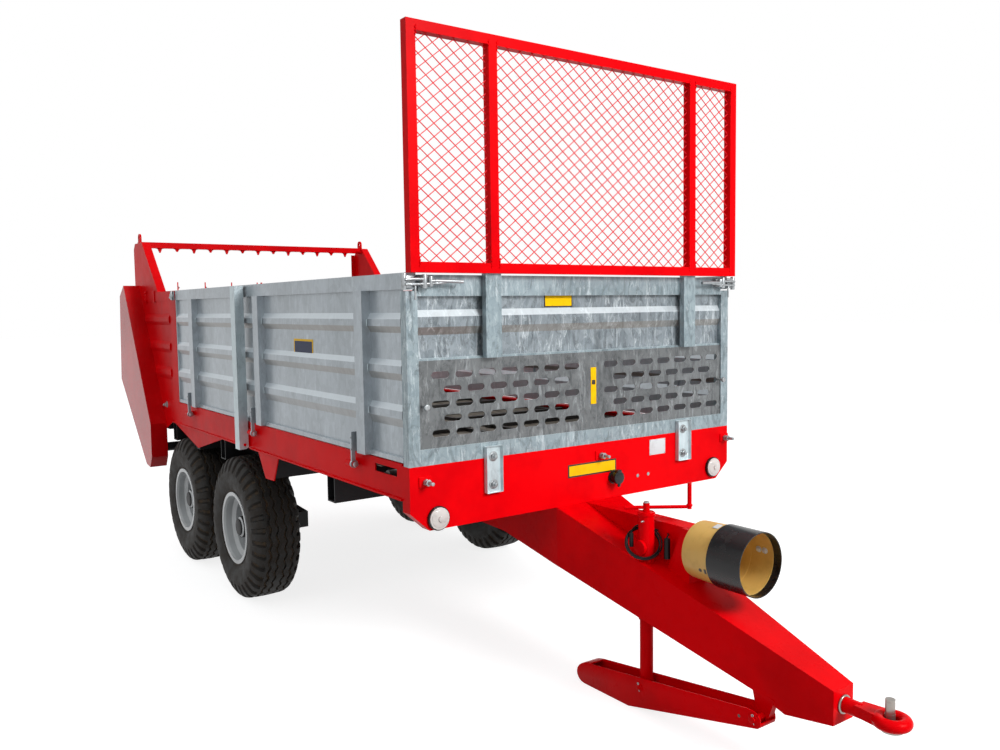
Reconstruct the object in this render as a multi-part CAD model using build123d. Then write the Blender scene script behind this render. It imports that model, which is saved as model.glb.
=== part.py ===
from build123d import *

import os
from math import atan2, ceil, cos, degrees, floor, pi, radians, sin

os.makedirs("parts", exist_ok=True)

# Towed two-beater manure spreader, in millimetres.
# Y is 0 at the front wall while the model is drawn: minus Y is ahead, towards the towing eye.
# Plus X is the machine's left side, minus X its right side, which carries the chain cover.
# Z is 0 on the floor.

# Overall places
BODY_HALF = 960.0            # outer face of the top rails and of the side beams
EYE_TIP_Y = -1571.0          # foremost point, tip of the towing eye
BEATER_R = 248.0             # tip circle of both beaters
BEATER_UPPER = (4150.0, 1690.0)
BEATER_LOWER = (4030.0, 1178.0)
MID_Y = (EYE_TIP_Y + BEATER_UPPER[0] + BEATER_R) / 2

# Wheels
TYRE_R = 422.5
TYRE_WIDTH = 290.0
WHEEL_X = BODY_HALF - 102.0
AXLE_Y = {"front": 2064.0, "rear": 3060.0}
RIM_SEAT_R = 195.0
RIM_FLANGE_R = 212.5
RIM_HALF = 128.5
RIM_WALL = 8.0
WELL_R = 172.0               # outside of the rim's well
WELL_W = (64.0, -56.0)       # from the middle of the wheel, outwards positive
DISC_W = -30.0               # where the disc meets the well
HUB_R = 62.0
CAP_W = 97.0
STUB_R = 30.0
FIT = 0.05
SEAT_GAP = 0.3

# Chassis
BEAM_Z0 = 926.0
BEAM_Z1 = 1078.0
BEAM_FLANGE = 60.0
BEAM_WEB = 6.0
HEAD_DEPTH = 60.0
HEAD_Z0 = 800.0
HEAD_Z1 = 1070.0
HEAD_CHAMFER = (90.0, 80.0)
CROSS_Y = (760.0, 1530.0, 2310.0, 2814.0, 3340.0)
CROSS_WIDTH = 80.0
CROSS_Z0 = 800.0
BEARER_Y = (420.0, 1000.0, 1580.0, 2160.0, 2740.0, 3285.0)
BEARER_WIDTH = 50.0

# Floor and conveyor
FLOOR_Z = 1043.0
FLOOR_T = 4.0
CHAIN_R = 45.0
SHAFT_Z = 1010.0
SHAFT_FRONT_Y = 200.0
SHAFT_REAR_Y = 3620.0
SHAFT_R = 22.0
CHAIN_T = 14.0
CHAIN_W = 22.0
CHAIN_X = (90.0, BODY_HALF - 160.0)
SLAT_PITCH = 330.0
SLAT_W = 36.0
SLAT_H = 22.0

# Drawbar
BAR_HALF_REAR = 200.0
BAR_HALF_FRONT = 58.0
BAR_FRONT_Y = -1325.0
BAR_TOP_FRONT_Z = 371.0
BAR_REAR_Y = 1490.0
BAR_WALL = 8.0
TUNNEL_X = (-26.0, 60.0)
TUNNEL_WALL = 4.0
BRACKET_HALF = 58.0
BRACKET_Y = (-665.0, -545.0)
EYE_Z = 318.0
EYE_Y = -1505.5
EYE_HOLE_R = 25.0
EYE_RING_R = 44.0
EYE_WIRE_R = 21.5
HITCH_PIN_R = 16.0
HITCH_PIN_Z = (342.0, 392.0)
HITCH_SHANK_R = 17.0

# Input shaft and its guard
SHAFT_AXIS_Z = 722.0
DRIVE_R = 16.5
INPUT_STUB_R = 17.5
INPUT_STUB_Y = (-800.0, -705.0)
CONE_Y = (-690.0, -830.0)
CONE_R = (117.0, 122.0)
RING_Y = (-810.0, -970.0)
RING_R = 126.5
GUARD_WALL = 4.0
GEARBOX_Y = (3470.0, 3700.0)
GEARBOX_TOP = 800.0

# Parking jack and its foot
JACK_X = -94.0
JACK_Y = -460.0
JACK_TUBE_R = 33.0
LEG_R = 28.0
JACK_TOP_Z = 850.0
JACK_BOTTOM_Z = 392.0
LEG_TOP_Z = 640.0
LEG_BOTTOM_Z = 66.0
FOOT_HINGE = (-1050.0, 190.0)
FOOT_HALF = 45.0
FOOT_T = 6.0
FOOT_PIN_Z = 106.0
FOOT_PIN_R = 10.0
FOOT_HINGE_R = 12.0

# Lighting lead, coiled round the jack
CABLE_R = 4.5
COIL_R = 74.0
COIL_BUNDLE_R = 12.0
COIL_TILT = 51.6
COIL_CENTRE = (JACK_X - 11.4, JACK_Y + 8.2, 716.0)
PLUG_A = (-64.0, -549.0, 664.0, 748.0, 13.0)     # x, y, foot, top, radius
PLUG_B = (-139.0, -417.0, 700.0, 756.0, 9.0)

# Front wall, lines measured up the wall
FLANGE_Z = (1071.0, 1137.0)
GRILLE_Z = (1137.0, 1498.0)
GRILLE_SLOT = (86.0, 29.0)
GRILLE_PITCH = (117.0, 60.0)
GRILLE_MARGIN = 104.0         # from the plate's right edge to the first slot's middle
GRILLE_MIDDLE = (-90.0, 138.0)
GRILLE_MARGIN_LEFT = 60.0
SHEET_FRONT_Z = (1498.0, 1777.0)
RAIL_FRONT_Z = (1777.0, 1843.0)
POST_WIDTH = 53.0
POST_TOP_Z = 1778.0
WALL_DEPTH = 45.0
UPRIGHT_HALF = 40.0
UPRIGHT_X = (-553.0, 640.0)
UPRIGHT_TOP_Z = 1850.0

# Guard above the front wall
GUARD_Z = (1850.0, 2820.0)
GUARD_TUBE = 42.0
GUARD_Y = (-46.0, -4.0)
MESH_WIRE = 3.2
MESH_PITCH_X = 66.0
MESH_PITCH_Z = 52.0

# Side boards
SHEET_T = 4.0
SHEET_X = BODY_HALF - 15.0   # outer face of the flat part of the sheet
RIDGE_DEPTH = 14.0
BOARD_Y = (51.0, 3183.0)
BOARD_Z = (1083.0, 1788.0)
BOARD_RAIL_Z = (1785.0, 1851.0)
BOARD_RAIL_DEPTH = 52.0
BOARD_HINGE = (BODY_HALF + 25.0, 1030.0)
BOARD_PIN_R = 9.0
RIDGES = (                   # columns: foot of the ridge below, flat from, flat to, foot above
    (1225.0, 1261.0, 1293.0, 1318.0),
    (1416.0, 1446.0, 1476.0, 1500.0),
    (1610.0, 1637.0, 1666.0, 1692.0),
)
STIFFENER_Y = (375.0, 1604.0, 2778.0)
STIFFENER_W = 78.0
STIFFENER_OUT = BODY_HALF + 25.0
HOOK_Y = (458.0, 1696.0, 2870.0)
SIDE_POST_Y = (1812.0, 1882.0)
SIDE_POST_OUT = BODY_HALF + 62.0
SIDE_POST_Z = (924.0, 1845.0)
SIDE_POST_PIN = (BODY_HALF + 32.0, 951.0)
SIDE_POST_PIN_R = 8.0

# Rear walls and chain cover
REAR_WALL_T = 5.0
REAR_WALL_X = BODY_HALF - 5.0      # outer face of the plate
REAR_POST_Y = (3190.0, 3330.0)
REAR_END_Y = 4280.0
REAR_FOOT_Z = 860.0
REAR_RAIL_END_Y = 4040.0
TOP_BEAM_Y = 4150.5
TOP_BEAM_Z = 2200.0
TOP_BEAM_TUBE = 45.0
REAR_TOP_Z = TOP_BEAM_Z + TOP_BEAM_TUBE - 10.0
BRACE_FOOT_Y = 3665.0
BRACE_HEAD_Y = 4060.0
REAR_WALL_OUTLINE = (
    (REAR_POST_Y[1], BEAM_Z0), (3385.0, BEAM_Z0), (3560.0, REAR_FOOT_Z), (REAR_END_Y, REAR_FOOT_Z),
    (REAR_END_Y, REAR_TOP_Z - 45), (REAR_END_Y - 40, REAR_TOP_Z), (BRACE_HEAD_Y, REAR_TOP_Z),
    (BRACE_FOOT_Y, BOARD_RAIL_Z[1]), (REAR_POST_Y[1], BOARD_RAIL_Z[1]),
)
COVER_OUTLINE = (
    (4170.0, 1910.0), (4300.0, 1830.0), (4370.0, 1184.0), (3700.0, 592.0), (3600.0, 580.0),
    (3548.0, 660.0), (3545.0, 900.0),
)
COVER_X = (REAR_WALL_X, REAR_WALL_X + 115.0)
COVER_T = 3.0
COMB_TEETH = 13
COMB_PITCH = 132.0

# Drive of the conveyor, on the left end of its rear shaft
DRIVE_BOX_X = (REAR_WALL_X + 20.0, REAR_WALL_X + 103.0)
DRIVE_BOX_HALF = 60.0
DRIVE_END_X = REAR_WALL_X + 115.0

# Beaters
BEATER_TUBE_R = 76.0
BEATER_HALF = REAR_WALL_X - 50.0
FLIGHT_R = 148.0
BLADE_PITCH = 216.0          # length of one turn of the flight
BLADES_PER_TURN = 6
BLADE_START = 90.0           # the middle blades stand upright
BLADE_T = 8.0
BEATER_SHAFT_R = 27.5
BEARING_FLANGE = 130.0
BEARING_T = 22.0


def block(x0, x1, y0, y1, z0, z1):
    """A box between two corners."""
    centre = Pos((x0 + x1) / 2, (y0 + y1) / 2, (z0 + z1) / 2)
    return centre * Box(abs(x1 - x0), abs(y1 - y0), abs(z1 - z0))


def side_plate(points, x0, x1):
    """A plate whose outline is given by Y and Z, between two X."""
    face = Plane.YZ * make_face(Polyline(*points, close=True))
    return Pos(min(x0, x1), 0, 0) * extrude(face, abs(x1 - x0))


def front_plate(points, y0, y1):
    """A plate whose outline is given by X and Z, between two Y."""
    face = Plane.XZ * make_face(Polyline(*points, close=True))
    return Pos(0, max(y0, y1), 0) * extrude(face, abs(y1 - y0))


def top_plate(points, z0, z1):
    """A plate whose outline is given by X and Y, between two Z."""
    face = make_face(Polyline(*points, close=True))
    return Pos(0, 0, min(z0, z1)) * extrude(face, abs(z1 - z0))


def rod_x(r, x0, x1, y, z):
    """A round bar along X."""
    return Pos((x0 + x1) / 2, y, z) * Rot(0, 90, 0) * Cylinder(r, abs(x1 - x0))


def rod_y(r, y0, y1, x, z):
    """A round bar along Y."""
    return Pos(x, (y0 + y1) / 2, z) * Rot(90, 0, 0) * Cylinder(r, abs(y1 - y0))


def rod_z(r, z0, z1, x, y):
    """A round bar along Z."""
    return Pos(x, y, (z0 + z1) / 2) * Cylinder(r, abs(z1 - z0))


def save(name, *solids):
    """Write one node, moved so that the origin is in the middle of the length."""
    shape = solids[0] if len(solids) == 1 else Compound(children=list(solids))
    export_step(Pos(0, -MID_Y, 0) * shape, f"parts/{name}.step")


def each_side():
    """The two sides of the machine, by name and by the sign of X."""
    return (("right", -1), ("left", 1))


# Wheels: tyre, and rim with its hub

def tyre_profile():
    """Half section of the tyre as radius and distance from the middle, ribs and grooves included."""
    half = TYRE_WIDTH / 2
    groove = 12.0
    ribs = ((18.0, 30.0), (62.0, 74.0))
    points = [(RIM_SEAT_R + SEAT_GAP, RIM_HALF - 12), (RIM_FLANGE_R + 10, RIM_HALF - 7)]
    points += [(250, half - 6), (300, half), (345, half - 2), (385, half - 14), (408, half - 32)]
    points += [(TYRE_R - 3, half - 44)]
    for inner, outer in reversed(ribs):
        points += [(TYRE_R, outer), (TYRE_R - groove, outer - 2), (TYRE_R - groove, inner + 2), (TYRE_R, inner)]
    return points


def tyre(x, y):
    right = tyre_profile()
    left = [(r, -w) for r, w in reversed(right)]
    face = make_face(Polyline(*[(r, w) for r, w in right + left], close=True))
    ring = revolve(face, Axis.Y, 360)
    return Pos(x, y, TYRE_R) * Rot(0, 0, 90) * ring


def rim(x, y, outward):
    """Deep rim with a stepped barrel, its hub with a bore for the stub axle, and a round cap."""
    seat = RIM_SEAT_R
    seat_in = seat - RIM_WALL
    well_in = WELL_R - RIM_WALL
    front, back = WELL_W
    barrel = [
        (RIM_FLANGE_R, RIM_HALF), (RIM_FLANGE_R, RIM_HALF - 5), (seat, RIM_HALF - 11), (seat, front + 18),
        (WELL_R, front), (WELL_R, back), (seat, back - 18), (seat, -RIM_HALF + 11),
        (RIM_FLANGE_R, -RIM_HALF + 5), (RIM_FLANGE_R, -RIM_HALF), (seat_in + 4, -RIM_HALF),
        (seat_in, -RIM_HALF + 14), (seat_in, back - 22), (well_in, back - 4),
    ]
    disc_back = [
        (well_in, DISC_W - 16), (well_in - 6, DISC_W - 10), (HUB_R + 56, DISC_W + 6), (HUB_R + 42, DISC_W + 24),
        (HUB_R, DISC_W + 24), (HUB_R, -96),
    ]
    bore = [(STUB_R + FIT, -96), (STUB_R + FIT, CAP_W - 8), (0, CAP_W - 8)]
    hub = [(0, CAP_W), (HUB_R - 14, CAP_W), (HUB_R, CAP_W - 9)]
    disc_front = [(HUB_R, DISC_W + 36), (HUB_R + 50, DISC_W + 36), (HUB_R + 62, DISC_W + 16), (well_in, DISC_W)]
    mouth = [(well_in, front - 4), (seat_in, front + 14), (seat_in, RIM_HALF - 14), (seat_in + 4, RIM_HALF)]
    outline = barrel + disc_back + bore + hub + disc_front + mouth
    face = make_face(Polyline(*outline, close=True))
    ring = revolve(face, Axis.Y, 360)
    turn = -90 if outward > 0 else 90
    return Pos(x, y, TYRE_R) * Rot(0, 0, turn) * ring


def make_wheels():
    for side, sign in each_side():
        for place, y in AXLE_Y.items():
            save(f"tyre_{place}_{side}", tyre(sign * WHEEL_X, y))
            save(f"rim_{place}_{side}", rim(sign * WHEEL_X, y, sign))


# Undercarriage: black hanger, pivot tube and rocker beam on each side

PIVOT_Y = (AXLE_Y["front"] + AXLE_Y["rear"]) / 2
ROCKER_X = (WHEEL_X - 313.0, WHEEL_X - 203.0)
HANGER_T = 14.0
PIVOT_R = 46.0


def make_undercarriage():
    hangers = []
    rockers = []
    for side, sign in each_side():
        beam_profile = [
            (AXLE_Y["front"] - 62, TYRE_R + 48), (AXLE_Y["front"] - 62, TYRE_R - 48),
            (AXLE_Y["front"] + 80, TYRE_R - 62), (AXLE_Y["rear"] - 80, TYRE_R - 62),
            (AXLE_Y["rear"] + 62, TYRE_R - 48), (AXLE_Y["rear"] + 62, TYRE_R + 48),
            (PIVOT_Y + 110, TYRE_R + 78), (PIVOT_Y - 110, TYRE_R + 78),
        ]
        beam = side_plate(beam_profile, sign * ROCKER_X[0], sign * ROCKER_X[1])
        beam -= rod_x(PIVOT_R + SEAT_GAP, sign * (ROCKER_X[0] - 5), sign * (ROCKER_X[1] + 5), PIVOT_Y, TYRE_R)
        for y in AXLE_Y.values():
            beam += rod_x(STUB_R + 14, sign * (ROCKER_X[1] - 5), sign * (WHEEL_X - 102), y, TYRE_R)
            beam += rod_x(STUB_R, sign * (ROCKER_X[1] - 5), sign * (WHEEL_X + 80), y, TYRE_R)
        rockers.append(beam)

        plate_profile = [
            (CROSS_Y[2] - 40, CROSS_Z0), (CROSS_Y[3] + 40, CROSS_Z0), (CROSS_Y[3] + 40, 730),
            (PIVOT_Y + 95, TYRE_R - 20), (PIVOT_Y + 50, TYRE_R - 75), (PIVOT_Y - 50, TYRE_R - 75),
            (PIVOT_Y - 95, TYRE_R - 20), (CROSS_Y[2] - 40, 730),
        ]
        inner = side_plate(plate_profile, sign * (ROCKER_X[0] - 3 - HANGER_T), sign * (ROCKER_X[0] - 3))
        outer = side_plate(plate_profile, sign * (ROCKER_X[1] + 3), sign * (ROCKER_X[1] + 3 + HANGER_T))
        tube = rod_x(PIVOT_R, sign * (ROCKER_X[0] - 60), sign * (ROCKER_X[1] + 30), PIVOT_Y, TYRE_R)
        lid = block(sign * (ROCKER_X[0] - 3), sign * (ROCKER_X[1] + 3), CROSS_Y[2] - 40, CROSS_Y[3] + 40,
                    CROSS_Z0 - 60, CROSS_Z0)
        hangers.append(inner + outer + tube + lid)
    save("axle_hangers", *hangers)
    save("rocker_axles", *rockers)


# Chassis: side beams, cross members, headstock

def make_chassis():
    beams = []
    beam_end = REAR_POST_Y[1]
    for side, sign in each_side():
        inside = BODY_HALF - BEAM_WEB
        web = block(sign * BODY_HALF, sign * inside, HEAD_DEPTH, beam_end, BEAM_Z0, BEAM_Z1)
        for z in (BEAM_Z0, BEAM_Z1 - 8):
            web += block(sign * BODY_HALF, sign * (BODY_HALF - BEAM_FLANGE), HEAD_DEPTH, beam_end, z, z + 8)
        lip = block(sign * BODY_HALF, sign * (BODY_HALF + 8), HEAD_DEPTH, beam_end, BEAM_Z0, BEAM_Z0 + 8)
        slot = block(sign * (BODY_HALF - 60), sign * (BODY_HALF + 40), 103, 296, 1018, 1052)
        web = web + lip
        gussets = (
            ((1400, BEAM_Z0), (1470, 792), (1590, 788), (1694, BEAM_Z0)),
            ((2290, BEAM_Z0), (2794, 809), (REAR_POST_Y[1] - 5, BEAM_Z0)),
        )
        for outline in gussets:
            web += side_plate([*outline], sign * BODY_HALF, sign * inside)
        web -= slot
        hx, hz = BOARD_HINGE
        for y in HOOK_Y:
            web += rod_x(14, sign * (BODY_HALF - 3), sign * hx, y + 30, hz)
            web += rod_y(BOARD_PIN_R, y - 22, y + 22, sign * hx, hz)
            web += rod_y(15, y + 4, y + 50, sign * hx, hz)
            web += rod_y(13, y - 26, y - 20, sign * hx, hz)

        # foot bracket of the middle post, in a gap of the beam's lower lip
        px, pz = SIDE_POST_PIN
        y0, y1 = SIDE_POST_Y
        web -= block(sign * BODY_HALF, sign * (BODY_HALF + 9), y0 - 8, y1 + 8, BEAM_Z0 - 1, BEAM_Z0 + 9)
        web += block(sign * (BODY_HALF - 2), sign * px, y0 + 10, y1 - 10, pz - 15, pz + 69)
        web += rod_y(15, y0 + 10, y1 - 10, sign * px, pz)
        web += rod_y(SIDE_POST_PIN_R, y0 - 4, y1 + 4, sign * px, pz)
        beams.append(web)
    save("side_beams", *beams)

    members = []
    for y in CROSS_Y:
        half = CROSS_WIDTH / 2
        edge = BODY_HALF - BEAM_WEB
        tube = block(-edge, edge, y - half, y + half, CROSS_Z0, BEAM_Z0)
        tube -= block(-edge - 1, edge + 1, y - half + 6, y + half - 6, CROSS_Z0 + 6, BEAM_Z0 - 6)
        members.append(tube)

    for y in BEARER_Y:
        half = BEARER_WIDTH / 2
        edge = BODY_HALF - BEAM_WEB
        members.append(block(-edge, edge, y - half, y + half, 985, FLOOR_Z - FLOOR_T))
    half = 120.0
    carrier = block(-half, half, GEARBOX_Y[0] + 20, GEARBOX_Y[1] - 20, GEARBOX_TOP, 860)
    edge = REAR_WALL_X - REAR_WALL_T
    members.append(carrier + block(-edge, edge, GEARBOX_Y[0] + 20, GEARBOX_Y[1] - 20, 860, 920))
    save("cross_members", *members)

    cx, cz = HEAD_CHAMFER
    outline = [
        (-BODY_HALF, HEAD_Z1), (-BODY_HALF, HEAD_Z0 + cz), (-BODY_HALF + cx, HEAD_Z0),
        (BODY_HALF - cx, HEAD_Z0), (BODY_HALF, HEAD_Z0 + cz), (BODY_HALF, HEAD_Z1),
    ]
    wall = 6.0
    inner = [
        (-BODY_HALF + wall, HEAD_Z1 - wall), (-BODY_HALF + wall, HEAD_Z0 + cz + 3),
        (-BODY_HALF + cx + 3, HEAD_Z0 + wall), (BODY_HALF - cx - 3, HEAD_Z0 + wall),
        (BODY_HALF - wall, HEAD_Z0 + cz + 3), (BODY_HALF - wall, HEAD_Z1 - wall),
    ]
    head = front_plate(outline, 0, HEAD_DEPTH) - front_plate(inner, wall, HEAD_DEPTH + 1)
    save("headstock", head)


# Load floor and the conveyor of chains and slats

def make_floor():
    edge = REAR_WALL_X - REAR_WALL_T - 1
    plate = block(-edge, edge, SHAFT_FRONT_Y + 60, SHAFT_REAR_Y - 60, FLOOR_Z - FLOOR_T, FLOOR_Z)
    save("load_floor", plate)


def chain_loop(x, r_mid, thickness, width):
    """One strand round both shafts, as a flat band."""
    def racetrack(r):
        middle = block(0, width, SHAFT_FRONT_Y, SHAFT_REAR_Y, SHAFT_Z - r, SHAFT_Z + r)
        middle += rod_x(r, 0, width, SHAFT_FRONT_Y, SHAFT_Z)
        return middle + rod_x(r, 0, width, SHAFT_REAR_Y, SHAFT_Z)
    band = racetrack(r_mid + thickness / 2) - racetrack(r_mid - thickness / 2)
    return Pos(x - width / 2, 0, 0) * band


def make_conveyor():
    for side, sign in each_side():
        pieces = [chain_loop(sign * x, CHAIN_R, CHAIN_T, CHAIN_W) for x in CHAIN_X]
        run = SHAFT_REAR_Y - SHAFT_FRONT_Y
        count = int(run // SLAT_PITCH) + 1
        first = SHAFT_FRONT_Y + (run - (count - 1) * SLAT_PITCH) / 2
        x0 = sign * (CHAIN_X[0] - 30)
        x1 = sign * (CHAIN_X[1] + 60)
        for i in range(count):
            y = first + i * SLAT_PITCH
            top = SHAFT_Z + CHAIN_R - CHAIN_T / 2 - 2
            pieces.append(block(x0, x1, y - SLAT_W / 2, y + SLAT_W / 2, top, top + SLAT_H))
            low = SHAFT_Z - CHAIN_R + CHAIN_T / 2 + 2
            pieces.append(block(x0, x1, y - SLAT_W / 2, y + SLAT_W / 2, low - SLAT_H, low))
        save(f"conveyor_{side}", pieces[0] + pieces[1:])

    edge = BODY_HALF - BEAM_WEB - 4
    shafts = []
    for name, y in (("conveyor_front_shaft", SHAFT_FRONT_Y), ("conveyor_rear_shaft", SHAFT_REAR_Y)):
        end = edge if name == "conveyor_front_shaft" else BODY_HALF + 40
        shaft = rod_x(SHAFT_R, -edge, end, y, SHAFT_Z)
        for x in CHAIN_X:
            for sign in (-1, 1):
                r = CHAIN_R - CHAIN_T / 2 - SEAT_GAP
                shaft += rod_x(r, sign * x - 7, sign * x + 7, y, SHAFT_Z)
        shafts.append(shaft)
    save("conveyor_shafts", *shafts)

    x0, x1 = DRIVE_BOX_X
    half = DRIVE_BOX_HALF
    drive = block(REAR_WALL_X, x0, SHAFT_REAR_Y - 80, SHAFT_REAR_Y + 80, SHAFT_Z - 80, SHAFT_Z + 80)
    drive += block(x0, x1, SHAFT_REAR_Y - half, SHAFT_REAR_Y + half, SHAFT_Z - half, SHAFT_Z + half)
    drive += rod_x(38, x1, DRIVE_END_X, SHAFT_REAR_Y, SHAFT_Z)
    drive += rod_y(34, SHAFT_REAR_Y + half, SHAFT_REAR_Y + half + 130, x0 + 42, SHAFT_Z)
    drive -= rod_x(SHAFT_R + FIT, REAR_WALL_X - 1, BODY_HALF + 45, SHAFT_REAR_Y, SHAFT_Z)
    save("conveyor_drive", drive)


# Drawbar with its tunnel, the towing eye, the input shaft and its guard

def bar_outline(inset):
    """Side outline of the drawbar, moved in by a wall."""
    top = HEAD_Z0 - inset
    return [
        (BAR_FRONT_Y + inset, BAR_TOP_FRONT_Z - inset), (BAR_FRONT_Y + inset, 247 + inset),
        (-1140 + inset, 225 + inset), (-1033, 269 + inset), (-16, 526 + inset), (410, 610 + inset),
        (BAR_REAR_Y + (50 if inset else 0), 655 + inset), (BAR_REAR_Y + (50 if inset else 0), top), (0, top),
    ]


def bar_plan(inset):
    """Plan outline of the drawbar, moved in by a wall."""
    front = BAR_HALF_FRONT - inset
    rear = BAR_HALF_REAR - inset
    y0 = BAR_FRONT_Y + inset
    y1 = BAR_REAR_Y + (50 if inset else 0)
    return [(-front, y0), (front, y0), (rear, 0), (rear, y1), (-rear, y1), (-rear, 0)]


def bar_top(y):
    """Height of the drawbar's sloping top."""
    return HEAD_Z0 + y * (HEAD_Z0 - BAR_TOP_FRONT_Z) / -BAR_FRONT_Y


def make_drawbar():
    def body(inset):
        return side_plate(bar_outline(inset), -BODY_HALF, BODY_HALF) & top_plate(bar_plan(inset), 0, HEAD_Z1)

    tunnel_profile = [
        (BRACKET_Y[0], bar_top(BRACKET_Y[0]) - 4), (BRACKET_Y[0], HEAD_Z0), (0, HEAD_Z0), (0, HEAD_Z0 - 4),
    ]
    tunnel = side_plate(tunnel_profile, *TUNNEL_X)
    bracket_profile = [
        (BRACKET_Y[0], bar_top(BRACKET_Y[0]) - 4), (BRACKET_Y[0], HEAD_Z0 + 4), (BRACKET_Y[0] + 40, HEAD_Z0 + 4),
        (BRACKET_Y[1], bar_top(BRACKET_Y[1]) - 4),
    ]
    bracket = side_plate(bracket_profile, -BRACKET_HALF, BRACKET_HALF)
    flange = rod_y(96, BRACKET_Y[0] - 12, BRACKET_Y[0], 0, SHAFT_AXIS_Z)
    corridor = block(TUNNEL_X[0] + TUNNEL_WALL, TUNNEL_X[1] - TUNNEL_WALL, BRACKET_Y[0] + 14, 20,
                     SHAFT_AXIS_Z - 44, HEAD_Z0 - TUNNEL_WALL)
    bar = body(0) - body(BAR_WALL)
    bar = bar + tunnel + bracket + flange
    bar -= corridor
    bar -= rod_y(DRIVE_R + FIT, BRACKET_Y[0] - 20, BRACKET_Y[0] + 20, 0, SHAFT_AXIS_Z)
    bar -= rod_z(JACK_TUBE_R + SEAT_GAP, 300, 760, JACK_X, JACK_Y)
    lug_x = (JACK_X + 8, JACK_X + FOOT_HALF - FOOT_T - 1)
    lug = side_plate(
        [(FOOT_HINGE[0] - 24, FOOT_HINGE[1] - 8), (FOOT_HINGE[0] - 10, FOOT_HINGE[1] - 20),
         (FOOT_HINGE[0] + 10, FOOT_HINGE[1] - 20), (FOOT_HINGE[0] + 24, FOOT_HINGE[1] - 8),
         (FOOT_HINGE[0] + 50, 290), (FOOT_HINGE[0] - 50, 262)], *lug_x)
    bar += lug
    bar -= rod_x(FOOT_HINGE_R + FIT, -300, 100, *FOOT_HINGE)
    save("drawbar", bar)

    ring = Pos(0, EYE_Y, EYE_Z) * Torus(EYE_RING_R, EYE_WIRE_R)
    neck = rod_y(27, BAR_FRONT_Y - 70, BAR_FRONT_Y, 0, EYE_Z - 6)
    shank_profile = [(-27, BAR_FRONT_Y - 60), (27, BAR_FRONT_Y - 60), (40, EYE_Y + 36), (-40, EYE_Y + 36)]
    shank = top_plate(shank_profile, EYE_Z - 20, EYE_Z + 18)
    eye = neck + shank + ring
    eye -= rod_z(EYE_HOLE_R, EYE_Z - 60, EYE_Z + 60, 0, EYE_Y)
    save("towing_eye", eye)

    seat_z = EYE_Z - EYE_WIRE_R + 1.2
    pin_y = EYE_Y + EYE_HOLE_R - HITCH_SHANK_R - SEAT_GAP
    pin = rod_z(HITCH_SHANK_R, seat_z - 12, HITCH_PIN_Z[0], 0, pin_y)
    pin += rod_z(HITCH_PIN_R, *HITCH_PIN_Z, 0, pin_y)
    pin += rod_z(36, seat_z - 12, seat_z, 0, EYE_Y)
    save("hitch_pin", pin)


def cone_shell(r0, r1, y0, y1, wall):
    """An open cone along Y between two radii."""
    outline = [(r0 - wall, y0), (r0, y0), (r1, y1), (r1 - wall, y1)]
    face = make_face(Polyline(*outline, close=True))
    return Pos(0, 0, SHAFT_AXIS_Z) * revolve(face, Axis.Y, 360)


def make_input():
    cone = cone_shell(CONE_R[0], CONE_R[1], CONE_Y[0], CONE_Y[1], GUARD_WALL)
    back = rod_y(CONE_R[0] - 1, CONE_Y[0], CONE_Y[0] + 13, 0, SHAFT_AXIS_Z)
    back -= rod_y(30, CONE_Y[0] - 5, CONE_Y[0] + 20, 0, SHAFT_AXIS_Z)
    save("shaft_guard_cone", cone)
    save("shaft_guard_plate", back)
    ring = cone_shell(RING_R, RING_R, RING_Y[0], RING_Y[1], GUARD_WALL)
    save("shaft_guard_ring", ring)

    shaft = rod_y(DRIVE_R, INPUT_STUB_Y[1], GEARBOX_Y[0] + 30, 0, SHAFT_AXIS_Z)
    shaft += rod_y(INPUT_STUB_R, *INPUT_STUB_Y, 0, SHAFT_AXIS_Z)
    shaft += rod_y(32, 120, GEARBOX_Y[0] - 120, 0, SHAFT_AXIS_Z)
    save("drive_shaft", shaft)

    box = block(-95, 95, GEARBOX_Y[0], GEARBOX_Y[1], SHAFT_AXIS_Z - 95, GEARBOX_TOP)
    box += rod_x(32, -BODY_HALF + 6, -90, (GEARBOX_Y[0] + GEARBOX_Y[1]) / 2, SHAFT_AXIS_Z)
    box += rod_y(55, GEARBOX_Y[0] - 30, GEARBOX_Y[0], 0, SHAFT_AXIS_Z)
    box -= rod_y(DRIVE_R + FIT, GEARBOX_Y[0] - 40, GEARBOX_Y[0] + 31, 0, SHAFT_AXIS_Z)
    save("gearbox", box)


# Parking jack and the foot that it lowers

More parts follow.
